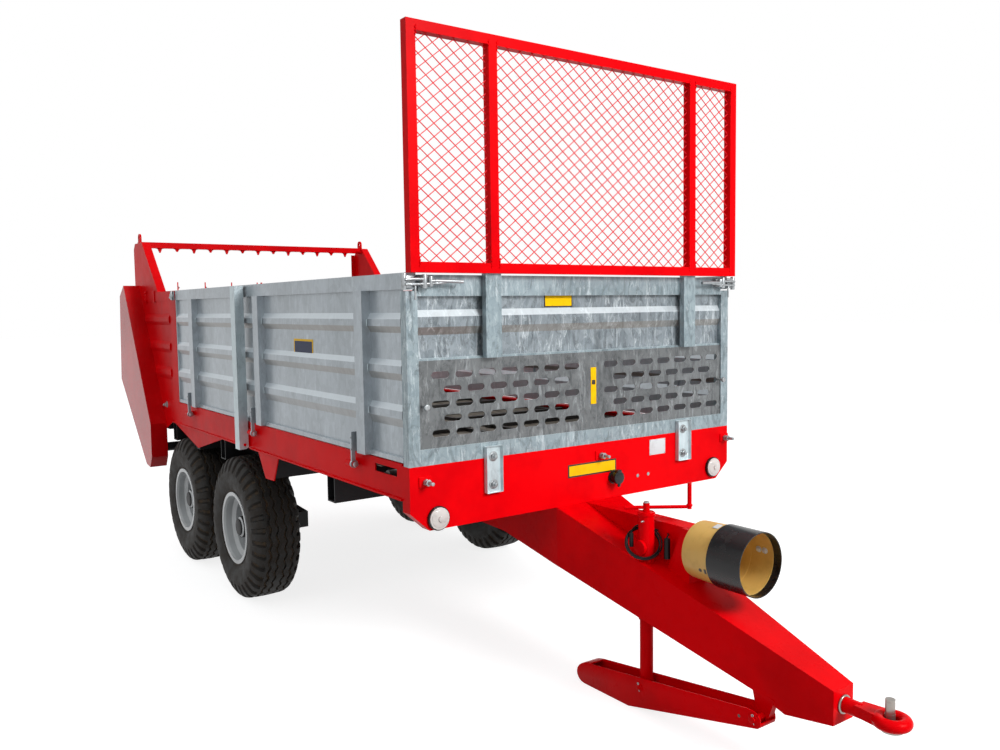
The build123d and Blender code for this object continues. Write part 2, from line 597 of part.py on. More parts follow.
def make_jack():
    tube = rod_z(JACK_TUBE_R, JACK_BOTTOM_Z, JACK_TOP_Z, JACK_X, JACK_Y)
    tube -= rod_z(LEG_R + FIT, JACK_BOTTOM_Z - 1, JACK_TOP_Z - 12, JACK_X, JACK_Y)
    tube += rod_z(JACK_TUBE_R + 4, JACK_TOP_Z - 14, JACK_TOP_Z - 4, JACK_X, JACK_Y)
    tube += rod_z(14, JACK_TOP_Z, JACK_TOP_Z + 36, JACK_X, JACK_Y)
    tube += rod_x(31, JACK_X - JACK_TUBE_R - 10, JACK_X - JACK_TUBE_R + 4, JACK_Y, 702)
    aim = degrees(atan2(-0.58, 0.81))
    arm = Rot(0, 90, 0) * Cylinder(7.5, 275)
    arm = Pos(45, 0, 0) * arm
    grip = Pos(180, 0, 46) * Cylinder(9, 111)
    crank = Pos(JACK_X, JACK_Y, JACK_TOP_Z + 18) * Rot(0, 0, aim) * (arm + grip)
    save("jack_tube", tube + crank)

    leg = rod_z(LEG_R, LEG_BOTTOM_Z, LEG_TOP_Z, JACK_X, JACK_Y)
    eye = block(JACK_X - 40, JACK_X + 40, JACK_Y - 8, JACK_Y + 8, FOOT_PIN_Z - FOOT_PIN_R - 2,
                FOOT_PIN_Z + FOOT_PIN_R + 2)
    for dy in (-8, 8):
        eye += rod_x(FOOT_PIN_R + 2, JACK_X - 40, JACK_X + 40, JACK_Y + dy, FOOT_PIN_Z)
    save("jack_leg", leg - eye)

    hinge_y, hinge_z = FOOT_HINGE
    side = [
        (hinge_y - 28, hinge_z + 16), (hinge_y - 32, hinge_z - 8), (hinge_y - 18, hinge_z - 30),
        (-375, 0), (-345, 0), (-120, 62), (-92, 104), (-112, 140), (-200, 152), (hinge_y + 60, hinge_z + 42),
        (hinge_y + 4, hinge_z + 32),
    ]
    inner_floor = [
        (hinge_y - 60, hinge_z + 120), (hinge_y - 60, hinge_z - 18), (hinge_y + 60, hinge_z - 41),
        (-376, FOOT_T), (-346, FOOT_T), (-125, 62 + FOOT_T), (-99, 104), (-60, 200),
    ]
    x0 = JACK_X - FOOT_HALF
    x1 = JACK_X + FOOT_HALF
    foot = side_plate(side, x0, x1) - side_plate(inner_floor, x0 + FOOT_T, x1 - FOOT_T)
    pin = rod_x(FOOT_PIN_R, x0 - 8, x1 + 8, JACK_Y, FOOT_PIN_Z)
    hinge = rod_x(FOOT_HINGE_R, x0 - 8, x1 + 8, hinge_y, hinge_z)
    save("parking_foot", foot + pin + hinge)


# Lighting lead: a coil hung round the jack, with a plug on each end

def coil_frame():
    """Direction across the view, and direction down the slope of the coil."""
    tilt = radians(COIL_TILT)
    across = Vector(0.813, -0.582, 0)
    forward = Vector(-0.582, -0.813, 0)
    down = forward * cos(tilt) + Vector(0, 0, -1) * sin(tilt)
    return across, down


def make_cable():
    across, down = coil_frame()
    centre = Vector(*COIL_CENTRE)
    plane = Plane(origin=centre, x_dir=across, z_dir=across.cross(down) * -1)
    save("light_cable_coil", plane * Torus(COIL_R, COIL_BUNDLE_R))

    plugs = []
    tails = []
    for (x, y, foot, top, r), turn in ((PLUG_A, -25.0), (PLUG_B, 260.0)):
        a = radians(turn)
        on_ring = centre + (across * cos(a) + down * sin(a)) * COIL_R
        head = Vector(x, y, top)
        away = (head - on_ring).normalized()
        start = on_ring + away * (COIL_BUNDLE_R - 4)
        tails.append(Plane(origin=start, z_dir=away) * Cylinder(
            CABLE_R, (head - start).length, align=(Align.CENTER, Align.CENTER, Align.MIN)))
        plugs.append(rod_z(r, foot, top, x, y) + Pos(x, y, top) * Sphere(CABLE_R + 2))
    save("light_cable_tails", *tails)
    save("light_cable_plugs", *plugs)


# Front wall, perforated plate and the guard above it

def make_front_wall():
    posts = None
    for sign in (-1, 1):
        x0 = sign * BODY_HALF
        x1 = sign * (BODY_HALF - POST_WIDTH)
        post = block(x0, x1, 0, WALL_DEPTH, HEAD_Z1, POST_TOP_Z)
        posts = post if posts is None else posts + post
    inner = BODY_HALF - POST_WIDTH
    frame = posts + block(-inner, inner, 0, WALL_DEPTH, HEAD_Z1, FLANGE_Z[1])
    frame += block(-inner + 5, inner - 5, 0, WALL_DEPTH, RAIL_FRONT_Z[0], RAIL_FRONT_Z[1])
    frame += block(-inner - 6, inner + 6, 0, WALL_DEPTH, RAIL_FRONT_Z[0] - 20, RAIL_FRONT_Z[0] + 1)
    frame += block(-inner, inner, 9, 24, GRILLE_Z[1] - 6, GRILLE_Z[1] + 8)
    for x in UPRIGHT_X:
        frame += block(x - UPRIGHT_HALF, x + UPRIGHT_HALF, -28, 1, SHEET_FRONT_Z[0], UPRIGHT_TOP_Z)
    save("front_wall_frame", frame)

    ridge = [
        (24, SHEET_FRONT_Z[0] + 8), (24, 1600), (10, 1632), (10, 1674), (24, 1702), (24, RAIL_FRONT_Z[0] - 20),
        (24 + SHEET_T, RAIL_FRONT_Z[0] - 20), (24 + SHEET_T, 1700), (10 + SHEET_T, 1672),
        (10 + SHEET_T, 1634), (24 + SHEET_T, 1602), (24 + SHEET_T, SHEET_FRONT_Z[0] + 8),
    ]
    save("front_wall_sheet", side_plate(ridge, -inner, inner))

    plate = block(-inner, inner, 5, 9, GRILLE_Z[0], GRILLE_Z[1] - 1)
    slot = extrude(Plane.XZ * SlotOverall(GRILLE_SLOT[0], GRILLE_SLOT[1]), 12)
    slots = []
    fields = (
        (GRILLE_MARGIN - inner, GRILLE_MIDDLE[0]),
        (GRILLE_MIDDLE[1], inner - GRILLE_MARGIN_LEFT),
    )
    for x0, x1 in fields:
        columns = int((x1 - x0) // GRILLE_PITCH[0]) + 1
        for row in range(5):
            z = GRILLE_Z[1] - 62 - row * GRILLE_PITCH[1]
            odd = row % 2
            for i in range(columns - odd):
                x = x0 + (i + odd / 2) * GRILLE_PITCH[0]
                slots.append(Pos(x, 12, z) * slot)
    save("front_grille", plate - slots)

    half = BODY_HALF
    y0, y1 = GUARD_Y
    z0, z1 = GUARD_Z
    tube = GUARD_TUBE
    frame = block(-half, half, y0, y1, z0, z1)
    edges = [-half, UPRIGHT_X[0], UPRIGHT_X[1], half]
    bays = []
    for i in range(3):
        low = edges[i] + (tube if i == 0 else tube / 2)
        high = edges[i + 1] - (tube if i == 2 else tube / 2)
        bays.append((low, high))
        frame -= block(low, high, y0 - 1, y1 + 1, z0 + tube, z1 - tube)
    save("guard_frame", frame)

    angle = atan2(MESH_PITCH_Z, MESH_PITCH_X)
    for name, lean, y in (("guard_mesh_front", 1, -26.0), ("guard_mesh_back", -1, -26.0 + MESH_WIRE)):
        wires = []
        dx, dz = cos(angle), lean * sin(angle)
        pad_x = sin(angle) * MESH_WIRE / 2 + 0.1
        pad_z = cos(angle) * MESH_WIRE / 2 + 0.1
        reach = (z1 - z0) / MESH_PITCH_Z * MESH_PITCH_X
        for low, high in bays:
            x_lo, x_hi = low + pad_x, high - pad_x
            z_lo, z_hi = z0 + tube + pad_z, z1 - tube - pad_z
            first = ceil((x_lo - reach + half) / MESH_PITCH_X)
            last = floor((x_hi + reach + half) / MESH_PITCH_X)
            for i in range(first, last + 1):
                # where the wire's line meets the middle height of the bay
                x_mid = -half + i * MESH_PITCH_X
                z_mid = (z0 + z1) / 2
                t_lo = max((x_lo - x_mid) / dx, min((z_lo - z_mid) / dz, (z_hi - z_mid) / dz))
                t_hi = min((x_hi - x_mid) / dx, max((z_lo - z_mid) / dz, (z_hi - z_mid) / dz))
                if t_hi - t_lo < 12:
                    continue
                t = (t_lo + t_hi) / 2
                wire = Box(t_hi - t_lo, MESH_WIRE, MESH_WIRE)
                wire = Rot(0, -degrees(lean * angle), 0) * wire
                wires.append(Pos(x_mid + t * dx, y, z_mid + t * dz) * wire)
        save(name, *wires)


# Fittings on the headstock: lamps, lighting socket and two folded brackets

LAMPS = ((-831.0, 848.0), (840.0, 865.0))
LAMP_R = 51.0
SOCKET = (144.0, 897.0)
SOCKET_R = 31.0
BRACKETS = ((-596.0, -512.0, 920.0, 1120.0), (569.0, 660.0, 928.0, 1130.0))
BRACKET_DEPTH = 24.0


def make_front_fittings():
    lamps = []
    section = [(0, 0), (LAMP_R - 4, 0), (LAMP_R - 4, -9), (LAMP_R, -10), (LAMP_R, -16), (LAMP_R - 7, -17),
               (LAMP_R - 20, -22), (0, -25)]
    for x, z in LAMPS:
        face = make_face(Polyline(*section, close=True))
        lamps.append(Pos(x, 0, z) * revolve(face, Axis.Y, 360))
    save("front_lamps", *lamps)

    x, z = SOCKET
    socket = rod_y(SOCKET_R, -8, 0, x, z)
    socket += rod_y(SOCKET_R - 4, -38, -7, x, z)
    socket += rod_y(SOCKET_R, -47, -37, x, z + 2)
    socket += block(x - 14, x + 14, -48, -26, z + 20, z + 40)
    save("lighting_socket", socket)

    brackets = []
    for x0, x1, z0, z1 in BRACKETS:
        bracket = block(x0, x1, -BRACKET_DEPTH, 0, z0, z1)
        bracket -= block(x0 + 6, x1 - 6, -BRACKET_DEPTH - 1, -7, z0 + 6, z1 - 6)
        brackets.append(bracket)
    save("front_brackets", *brackets)


# Side boards, hinged at their foot, and the posts that stay them

def board_section():
    """Section of the corrugated sheet, as distance from the middle and height."""
    outer = [(SHEET_X, BOARD_Z[0])]
    for foot, flat0, flat1, top in RIDGES:
        outer += [(SHEET_X, foot), (SHEET_X + RIDGE_DEPTH, flat0), (SHEET_X + RIDGE_DEPTH, flat1), (SHEET_X, top)]
    outer += [(SHEET_X, BOARD_Z[1])]
    inner = [(x - SHEET_T, z) for x, z in reversed(outer)]
    return outer + inner


def make_side_boards():
    hx, hz = BOARD_HINGE
    for side, sign in each_side():
        outline = [(sign * x, z) for x, z in board_section()]
        board = front_plate(outline, BOARD_Y[0], BOARD_Y[1])
        lip_z = (BOARD_Z[0], BOARD_Z[0] + 20)
        board += block(sign * (SHEET_X - 2), sign * (BODY_HALF - 2), BOARD_Y[0], BOARD_Y[1], *lip_z)
        board += block(sign * (SHEET_X - 2), sign * (BODY_HALF - 1), BOARD_Y[1] - 10, BOARD_Y[1], BOARD_Z[0],
                       BOARD_RAIL_Z[0] + 1)
        rail_in = BODY_HALF - BOARD_RAIL_DEPTH
        board += block(sign * BODY_HALF, sign * rail_in, 8, BOARD_Y[1], *BOARD_RAIL_Z)
        for y in STIFFENER_Y:
            half = STIFFENER_W / 2
            channel = block(sign * (SHEET_X - 1), sign * STIFFENER_OUT, y - half, y + half, BOARD_Z[0],
                            BOARD_RAIL_Z[0] + 1)
            channel -= block(sign * (SHEET_X - 2), sign * (STIFFENER_OUT - 4), y - half + 4, y + half - 4,
                             BOARD_Z[0] - 1, BOARD_RAIL_Z[0] - 10)
            board += channel
        for y in HOOK_Y:
            hook = block(sign * (hx - 6), sign * (hx + 12), y - 16, y - 6, hz - 5, BOARD_Z[0] + 90)
            hook += block(sign * (SHEET_X - 1), sign * (hx + 12), y - 16, y - 6, BOARD_Z[0] + 4, BOARD_Z[0] + 90)
            hook += rod_y(18, y - 16, y - 6, sign * hx, hz)
            hook -= rod_y(BOARD_PIN_R + FIT, y - 30, y + 30, sign * hx, hz)
            board += hook
        save(f"side_board_{side}", board)

        x_out = sign * SIDE_POST_OUT
        x_in = sign * (BODY_HALF + 10)
        y0, y1 = SIDE_POST_Y
        z0, z1 = SIDE_POST_Z
        px, pz = SIDE_POST_PIN
        outline = [(x_out, z0), (sign * (px - 8), z0 + 2), (x_in, pz - 13), (x_in, z1), (x_out, z1)]
        post = front_plate(outline, y0, y1)
        post -= block(sign * (SIDE_POST_OUT - 4), sign * (BODY_HALF + 9), y0 + 4, y1 - 4, z0 - 1, z1 - 4)
        post -= rod_y(SIDE_POST_PIN_R + FIT, y0 - 1, y1 + 1, sign * px, pz)
        save(f"side_post_{side}", post)


# Rear walls, top beam with its comb, chain cover

def cover_front(z):
    """Where the sloping front edge of the chain cover is at a height."""
    (y1, z1), (y0, z0) = COVER_OUTLINE[0], COVER_OUTLINE[-1]
    return y0 + (z - z0) * (y1 - y0) / (z1 - z0)


def make_rear():
    posts = []
    for side, sign in each_side():
        x_out = sign * REAR_WALL_X
        x_in = sign * (REAR_WALL_X - REAR_WALL_T)
        x_rail = sign * BODY_HALF
        front = REAR_POST_Y[1]
        wall = side_plate([*REAR_WALL_OUTLINE], x_out, x_in)
        for foot, flat0, flat1, top in RIDGES:
            rib = [(sign * (REAR_WALL_X - 1), foot), (sign * (REAR_WALL_X + RIDGE_DEPTH), flat0),
                   (sign * (REAR_WALL_X + RIDGE_DEPTH), flat1), (sign * (REAR_WALL_X - 1), top)]
            wall += front_plate(rib, front + 4, cover_front(foot) - 14)
        wall += block(x_rail, sign * (BODY_HALF - BOARD_RAIL_DEPTH), front, REAR_RAIL_END_Y, *BOARD_RAIL_Z)
        wall += block(x_rail, x_in, front, cover_front(BEAM_Z0) - 30, BEAM_Z0 + 20, BEAM_Z1)
        brace = [(BRACE_HEAD_Y, REAR_TOP_Z), (BRACE_FOOT_Y, BOARD_RAIL_Z[1]),
                 (BRACE_FOOT_Y - 25, BOARD_RAIL_Z[1]), (BRACE_HEAD_Y - 25, REAR_TOP_Z)]
        wall += side_plate(brace, sign * (REAR_WALL_X - 60), x_out)
        wall += block(x_out, sign * (REAR_WALL_X - 40), REAR_END_Y - 6, REAR_END_Y, REAR_FOOT_Z, REAR_TOP_Z - 45)
        through = (sign * (REAR_WALL_X - 55), sign * (REAR_WALL_X + 45))
        for y, z in (BEATER_UPPER, BEATER_LOWER):
            wall -= rod_x(BEATER_SHAFT_R + 6, *through, y, z)
        wall -= rod_x(SHAFT_R + 4, *through, SHAFT_REAR_Y, SHAFT_Z)
        save(f"rear_wall_{side}", wall)
        y0, y1 = REAR_POST_Y
        post = block(sign * BODY_HALF, sign * (BODY_HALF - 60), y0, y1, BEAM_Z1, BOARD_RAIL_Z[1])
        post -= block(sign * (BODY_HALF - 5), sign * (BODY_HALF - 61), y0 + 5, y1 - 5, BEAM_Z1 - 1,
                      BOARD_RAIL_Z[1] - 5)
        posts.append(post)
    save("rear_posts", *posts)

    edge = REAR_WALL_X - REAR_WALL_T
    half = TOP_BEAM_TUBE / 2
    mid = TOP_BEAM_Y
    z0 = TOP_BEAM_Z
    z1 = TOP_BEAM_Z + TOP_BEAM_TUBE
    beam = block(-edge, edge, mid - half, mid + half, z0, z1)
    beam -= block(-edge + 10, edge - 10, mid - half + 4, mid + half - 4, z0 + 4, z1 - 4)
    for i in range(COMB_TEETH):
        x = (i - (COMB_TEETH - 1) / 2) * COMB_PITCH
        drop = 34 if i % 2 == 0 else 24
        tooth = [(x - 40, z0 + 2), (x - 16, z0 - 5), (x - 5, z0 - drop), (x + 5, z0 - drop), (x + 16, z0 - 5),
                 (x + 40, z0 + 2)]
        beam += front_plate(tooth, mid - 4, mid + 4)
    for sign in (-1, 1):
        x = sign * (edge - 12)
        lug = block(x - 6, x + 6, mid - 32, mid + 32, z1 - 20, z1 + 30)
        lug += rod_x(32, x - 6, x + 6, mid, z1 + 30)
        lug -= rod_x(15, x - 10, x + 10, mid, z1 + 30)
        beam += lug
    save("rear_top_beam", beam)

    outer = side_plate([*COVER_OUTLINE], -COVER_X[0], -COVER_X[1])
    cy = sum(y for y, z in COVER_OUTLINE) / len(COVER_OUTLINE)
    cz = sum(z for y, z in COVER_OUTLINE) / len(COVER_OUTLINE)
    shrink = 1 - COVER_T / 150
    inner = [(cy + (y - cy) * shrink, cz + (z - cz) * shrink) for y, z in COVER_OUTLINE]
    outer -= side_plate(inner, -COVER_X[0] + 1, -COVER_X[1] + COVER_T)
    save("chain_cover", outer)


# Beaters: a tube with a broken flight and blades

def beater_blade():
    """One sixth of a turn of the flight with its blade, at X 0, pointing along plus Y."""
    half_turn = pi / BLADES_PER_TURN * 1.02
    base = BEATER_TUBE_R - 6
    reach = BEATER_R - FLIGHT_R
    tooth = [(FLIGHT_R, 0.34), (FLIGHT_R + 0.12 * reach, 0.20), (FLIGHT_R + 0.36 * reach, 0.095),
             (FLIGHT_R + 0.7 * reach, 0.05), (BEATER_R, 0.03)]
    steps = [(FLIGHT_R, -half_turn)] + [(r, -a) for r, a in tooth] + tooth[::-1]
    steps += [(FLIGHT_R, half_turn), (base, half_turn), (base, 0), (base, -half_turn)]
    points = [(r * cos(a), r * sin(a)) for r, a in steps]
    return side_plate(points, -BLADE_T / 2, BLADE_T / 2)


def make_beaters():
    for name, (y, z), hand in (("beater_upper", BEATER_UPPER, 1), ("beater_lower", BEATER_LOWER, -1)):
        rotor = rod_x(BEATER_TUBE_R, -BEATER_HALF, BEATER_HALF, 0, 0)
        rotor += rod_x(BEATER_SHAFT_R, -BODY_HALF - 60, BODY_HALF + 34, 0, 0)
        blade = beater_blade()
        step = BLADE_PITCH / BLADES_PER_TURN
        lead = degrees(atan2(BLADE_PITCH, 2 * pi * FLIGHT_R)) * hand
        count = int((BEATER_HALF - 60) / step)
        pieces = []
        for sign in (-1, 1):
            for i in range(count):
                x = sign * (18 + i * step)
                turn = BLADE_START + 360 / BLADES_PER_TURN * i
                # both halves wind outwards from the middle
                piece = Rot(turn * hand, 0, 0) * Rot(0, lead * sign, 0) * blade
                pieces.append(Pos(x, 0, 0) * piece)
        save(name, Pos(0, y, z) * (rotor + pieces))

    housings = []
    for side, sign in each_side():
        for y, z in (BEATER_UPPER, BEATER_LOWER):
            half = BEARING_FLANGE / 2
            x0 = sign * REAR_WALL_X
            plate = block(x0, x0 + sign * BEARING_T, y - half, y + half, z - half, z + half)
            plate += rod_x(half - 12, x0, x0 + sign * (BEARING_T + 12), y, z)
            plate -= rod_x(BEATER_SHAFT_R + FIT, x0 - sign * 5, x0 + sign * 60, y, z)
            housings.append(plate)
    save("beater_bearings", *housings)


make_wheels()
make_undercarriage()
make_chassis()
make_floor()
make_conveyor()
make_drawbar()
make_input()
make_jack()
make_cable()
make_front_wall()
make_front_fittings()
make_side_boards()
make_rear()
make_beaters()
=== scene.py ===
"""Looks of a towed manure spreader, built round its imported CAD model.

Lengths are in metres. Plus X is the machine's left side, plus Y runs back to the
beaters, and the floor is at Z 0. Places in this file give Y as the distance behind
the front wall, and at_wall turns it into the model's own Y.
"""

import logging
import math
from dataclasses import dataclass
from enum import Enum
from typing import Any, Callable, Iterable, Sequence

import bmesh
import bpy
from mathutils import Euler, Matrix, Vector

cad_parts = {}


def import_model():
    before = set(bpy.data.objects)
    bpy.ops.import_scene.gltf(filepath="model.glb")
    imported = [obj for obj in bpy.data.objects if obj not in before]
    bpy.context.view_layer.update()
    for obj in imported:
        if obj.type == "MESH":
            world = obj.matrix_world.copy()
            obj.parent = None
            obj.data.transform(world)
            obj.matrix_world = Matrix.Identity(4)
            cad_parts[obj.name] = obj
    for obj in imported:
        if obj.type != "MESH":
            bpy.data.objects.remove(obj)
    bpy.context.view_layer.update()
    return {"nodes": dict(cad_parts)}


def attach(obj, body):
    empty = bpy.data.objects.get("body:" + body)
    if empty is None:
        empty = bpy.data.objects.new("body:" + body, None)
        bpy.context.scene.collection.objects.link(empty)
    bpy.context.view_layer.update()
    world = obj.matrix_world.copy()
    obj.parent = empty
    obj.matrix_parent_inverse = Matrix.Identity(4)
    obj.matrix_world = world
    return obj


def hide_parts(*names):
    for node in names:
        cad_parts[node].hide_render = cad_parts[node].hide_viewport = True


LOG = logging.getLogger("spreader")
FRONT_WALL_Y = -1.4135
SIDES = (("right", -1), ("left", 1))
Span = tuple[float, float]
Point = tuple[float, float, float]
Screen = tuple[int, int, int]
Piece = bpy.types.Object
Material = bpy.types.Material
Socket = bpy.types.NodeSocket


def at_wall(y: float) -> float:
    """Turn a distance behind the front wall into the model's Y."""
    return y + FRONT_WALL_Y


def in_model(place: Sequence[float]) -> Vector:
    """Turn a place whose Y is a distance behind the front wall into the model's frame."""
    x, y, z = place
    return Vector((x, at_wall(y), z))


def turned(degrees: float, axis: str) -> Matrix:
    """Return a turn about one of the model's axes."""
    return Matrix.Rotation(math.radians(degrees), 4, axis)


def linear(colour: Screen) -> tuple[float, ...]:
    """Turn a screen colour of 0 to 255 into opaque linear light."""
    shares = (value / 255 for value in colour)
    return (*(s / 12.92 if s <= 0.04045 else ((s + 0.055) / 1.055) ** 2.4 for s in shares), 1.0)


# Materials

class Nodes:
    """Adds nodes to one node tree."""

    def __init__(self, tree: bpy.types.NodeTree) -> None:
        """Keep the tree."""
        self.tree = tree

    def add(self, kind: str, inputs: dict[str | int, Any] | None = None, **settings: str) -> bpy.types.Node:
        """Add a node.

        Args:
            kind: Its type, without the leading ShaderNode.
            inputs: Value or socket of each input, by name or number.
            settings: Its own settings.

        Returns:
            The node.
        """
        node = self.tree.nodes.new("ShaderNode" + kind)
        for name, value in settings.items():
            setattr(node, name, value)
        self.feed(node, inputs or {})
        return node

    def feed(self, node: bpy.types.Node, inputs: dict[str | int, Any]) -> None:
        """Set or link inputs of a node."""
        for key, value in inputs.items():
            if isinstance(value, Socket):
                self.tree.links.new(value, node.inputs[key])
            else:
                node.inputs[key].default_value = value

    def math(self, first: Socket, second: Socket | float, operation: str = "MULTIPLY") -> Socket:
        """Join two values by an arithmetic operation."""
        return self.add("Math", {0: first, 1: second}, operation=operation).outputs["Value"]


class Sheet(Nodes):
    """One Principled material on Object coordinates, put together by short calls."""

    def __init__(self, name: str) -> None:
        """Start the material."""
        self.material = bpy.data.materials.new(name)
        self.material.use_nodes = True
        super().__init__(self.material.node_tree)
        self.tree.nodes.clear()
        self.shader = self.add("BsdfPrincipled")
        self.add("OutputMaterial", {"Surface": self.shader.outputs["BSDF"]})
        self.coords = self.add("TexCoord").outputs

    def noise(self, scale: float, detail: float = 3.0, rough: float = 0.55, stretch: Point = (1, 1, 1),
              warp: float = 0.0) -> Socket:
        """Return a noise value between 0 and 1.

        Args:
            scale: Spots per metre.
            detail: Octaves.
            rough: Strength of the fine octaves.
            stretch: Scale of the coordinates on each axis.
            warp: Distortion.

        Returns:
            The value.
        """
        place = self.add("Mapping", {"Scale": stretch, "Vector": self.coords["Object"]}).outputs["Vector"]
        return self.add("TexNoise", {"Scale": scale, "Detail": detail, "Roughness": rough, "Distortion": warp,
                                     "Vector": place}).outputs["Fac"]

    def flowers(self, scale: float) -> Socket:
        """Return a value that differs from one zinc flower to the next."""
        cells = self.add("TexVoronoi", {"Scale": scale, "Vector": self.coords["Object"]})
        return self.add("SeparateColor", {"Color": cells.outputs["Color"]}).outputs["Red"]

    def facing_up(self) -> Socket:
        """Return how far the piece's own surface faces up: 1 on a ledge, -1 beneath it."""
        return self.add("SeparateXYZ", {"Vector": self.coords["Normal"]}).outputs["Z"]

    def ramp(self, value: Socket, low: float, high: float) -> Socket:
        """Spread the stretch between low and high over 0 to 1."""
        return self.add("MapRange", {"From Min": low, "From Max": high, "Value": value},
                        interpolation_type="SMOOTHSTEP").outputs["Result"]

    def mix(self, share: Socket, first: Socket | Screen, second: Socket | Screen) -> Socket:
        """Mix two colours by a share: the first where it is 0 and the second where it is 1."""
        ends = [linear(end) if isinstance(end, tuple) else end for end in (first, second)]
        return self.add("Mix", {0: share, 6: ends[0], 7: ends[1]}, data_type="RGBA").outputs[2]

    def bump(self, *steps: tuple[Socket, float, float]) -> None:
        """Chain bumps into the shader's normal.

        Args:
            steps: Value, strength and depth of each bump.
        """
        before = {}
        for value, strength, depth in steps:
            node = self.add("Bump", {"Strength": strength, "Distance": depth, "Height": value, **before})
            before = {"Normal": node.outputs["Normal"]}
        self.feed(self.shader, before)

    def finish(self, colour: Socket, rough: Socket, low: float, high: float, **constants: float) -> Material:
        """Feed the shader.

        Args:
            colour: Base colour.
            rough: Value that drives the roughness.
            low: Roughness where that value is 0.
            high: Roughness where it is 1.
            constants: Inputs that are the same all over.

        Returns:
            The finished material.
        """
        spread = self.add("MapRange", {"To Min": low, "To Max": high, "Value": rough}).outputs["Result"]
        self.feed(self.shader, {"Base Color": colour, "Roughness": spread})
        self.feed(self.shader, {name.replace("_", " "): value for name, value in constants.items()})
        return self.material


@dataclass(frozen=True)
class Finish:
    """Name and main colour of a finish. Colours are a screen's, from 0 to 255."""

    name: str
    colour: Screen

    def material(self) -> Material:
        """Build the material."""
        raise NotImplementedError


@dataclass(frozen=True)
class PaintFinish(Finish):
    """Sprayed enamel with orange peel, soft dust and small dark runs."""

    shade: Screen
    dust: Screen
    dusting: float = 0.05
    smooth: float = 0.30
    coat: float = 0.0
    specular: float = 0.03

    def material(self) -> Material:
        """Build the material."""
        s = Sheet(self.name)
        tone = s.mix(s.ramp(s.noise(2.6, 4, 0.6), 0.35, 0.7), self.colour, self.shade)
        grime = s.ramp(s.noise(9, 6, 0.72, (1, 1, 0.45)), 0.60, 0.86)
        s.bump((s.noise(240, 2, 0.5), 0.14, 0.0003), (s.noise(42, 3, 0.6), 0.10, 0.0006))
        return s.finish(s.mix(s.math(grime, self.dusting), tone, self.dust), s.noise(14, 4, 0.65), self.smooth - 0.07,
                        self.smooth + 0.13, Metallic=0.0, Coat_Weight=self.coat, Coat_Roughness=0.12,
                        Specular_IOR_Level=self.specular)


@dataclass(frozen=True)
class ZincFinish(Finish):
    """Hot-dip galvanised steel: zinc flowers, streaks and runs, with a painted sky reflection that pales faces turned
    up and a painted ground reflection that browns faces turned down.
    """

    # Pale colour of zinc flowers and runs, and of the painted sky reflection on faces turned up.
    pale: Screen
    dark: Screen
    streak: float = 0.30
    flower: float = 26.0
    metallic: float = 0.40
    smooth: float = 0.30
    # Colour of the painted ground reflection on faces turned down.
    under: Screen = (118, 106, 90)

    def material(self) -> Material:
        """Build the material."""
        s = Sheet(self.name)
        grain = s.flowers(self.flower)
        cloud = s.ramp(s.noise(2.2, 4, 0.6, (1, 1, 0.5)), 0.30, 0.76)
        wipe = s.ramp(s.noise(17, 8, 0.78, (1, 1, 0.42), 1.6), 0.46, 0.64)
        run = s.ramp(s.noise(30, 8, 0.80, (1, 1, 0.22), 1.2), 0.50, 0.70)
        facing_for_painted_reflection = s.facing_up()
        base = self.colour
        # The last two rows paint reflection: faces turned up go pale as a painted sky reflection, faces turned down go
        # brown as a painted ground reflection.
        for value, share, colour in (
                (cloud, 0.45, self.dark), (grain, 0.12, self.pale), (wipe, self.streak, self.dark),
                (run, self.streak, self.pale), (s.ramp(facing_for_painted_reflection, 0.12, 0.62), 0.75, self.pale),
                (s.ramp(facing_for_painted_reflection, -0.12, -0.62), 0.75, self.under)):
            base = s.mix(s.math(value, share), base, colour)
        s.bump((s.noise(2.6, 2, 0.5), 0.05, 0.004), (grain, 0.04, 0.0004), (run, 0.10, 0.0004))
        return s.finish(base, s.math(s.math(grain, 0.5), s.math(cloud, 0.5)), self.smooth, self.smooth + 0.16,
                        Metallic=self.metallic)


@dataclass(frozen=True)
class RubberFinish(Finish):
    """Tyre rubber: near black, brown dust on what stands out, dull."""

    dust: Screen
    dusting: float = 0.6

    def material(self) -> Material:
        """Build the material."""
        s = Sheet(self.name)
        proud = s.ramp(s.add("NewGeometry").outputs["Pointiness"], 0.495, 0.545)
        spots = s.ramp(s.noise(16, 6, 0.72), 0.34, 0.70)
        layer = s.math(s.math(spots, self.dusting), s.math(proud, 0.12, "ADD"))
        s.bump((s.noise(180, 3, 0.6), 0.25, 0.0007))
        return s.finish(s.mix(layer, self.colour, self.dust), spots, 0.62, 0.86, Metallic=0.0, Specular_IOR_Level=0.3)


@dataclass(frozen=True)
class PlasticFinish(Finish):
    """Moulded plastic or cable sheath with a fine grain."""

    shade: Screen
    smooth: float = 0.42
    grain: float = 380.0
    specular: float = 0.4

    def material(self) -> Material:
        """Build the material."""
        s = Sheet(self.name)
        scuff = s.ramp(s.noise(16, 5, 0.68), 0.48, 0.78)
        s.bump((s.noise(self.grain, 2, 0.5), 0.12, 0.0003))
        return s.finish(s.mix(scuff, self.colour, self.shade), scuff, self.smooth, self.smooth + 0.16, Metallic=0.0,
                        Specular_IOR_Level=self.specular)


@dataclass(frozen=True)
class SteelFinish(Finish):
    """Bare or plated steel with turning marks and light stains."""

    stain: Screen
    metallic: float = 0.85
    smooth: float = 0.28
    staining: float = 0.5

    def material(self) -> Material:
        """Build the material."""
        s = Sheet(self.name)
        spots = s.ramp(s.noise(34, 5, 0.7), 0.46, 0.76)
        s.bump((s.noise(300, 3, 0.6), 0.15, 0.0003), (s.noise(28, 3, 0.5), 0.10, 0.0008))
        return s.finish(s.mix(s.math(spots, self.staining), self.colour, self.stain), spots, self.smooth,
                        self.smooth + 0.25, Metallic=self.metallic)


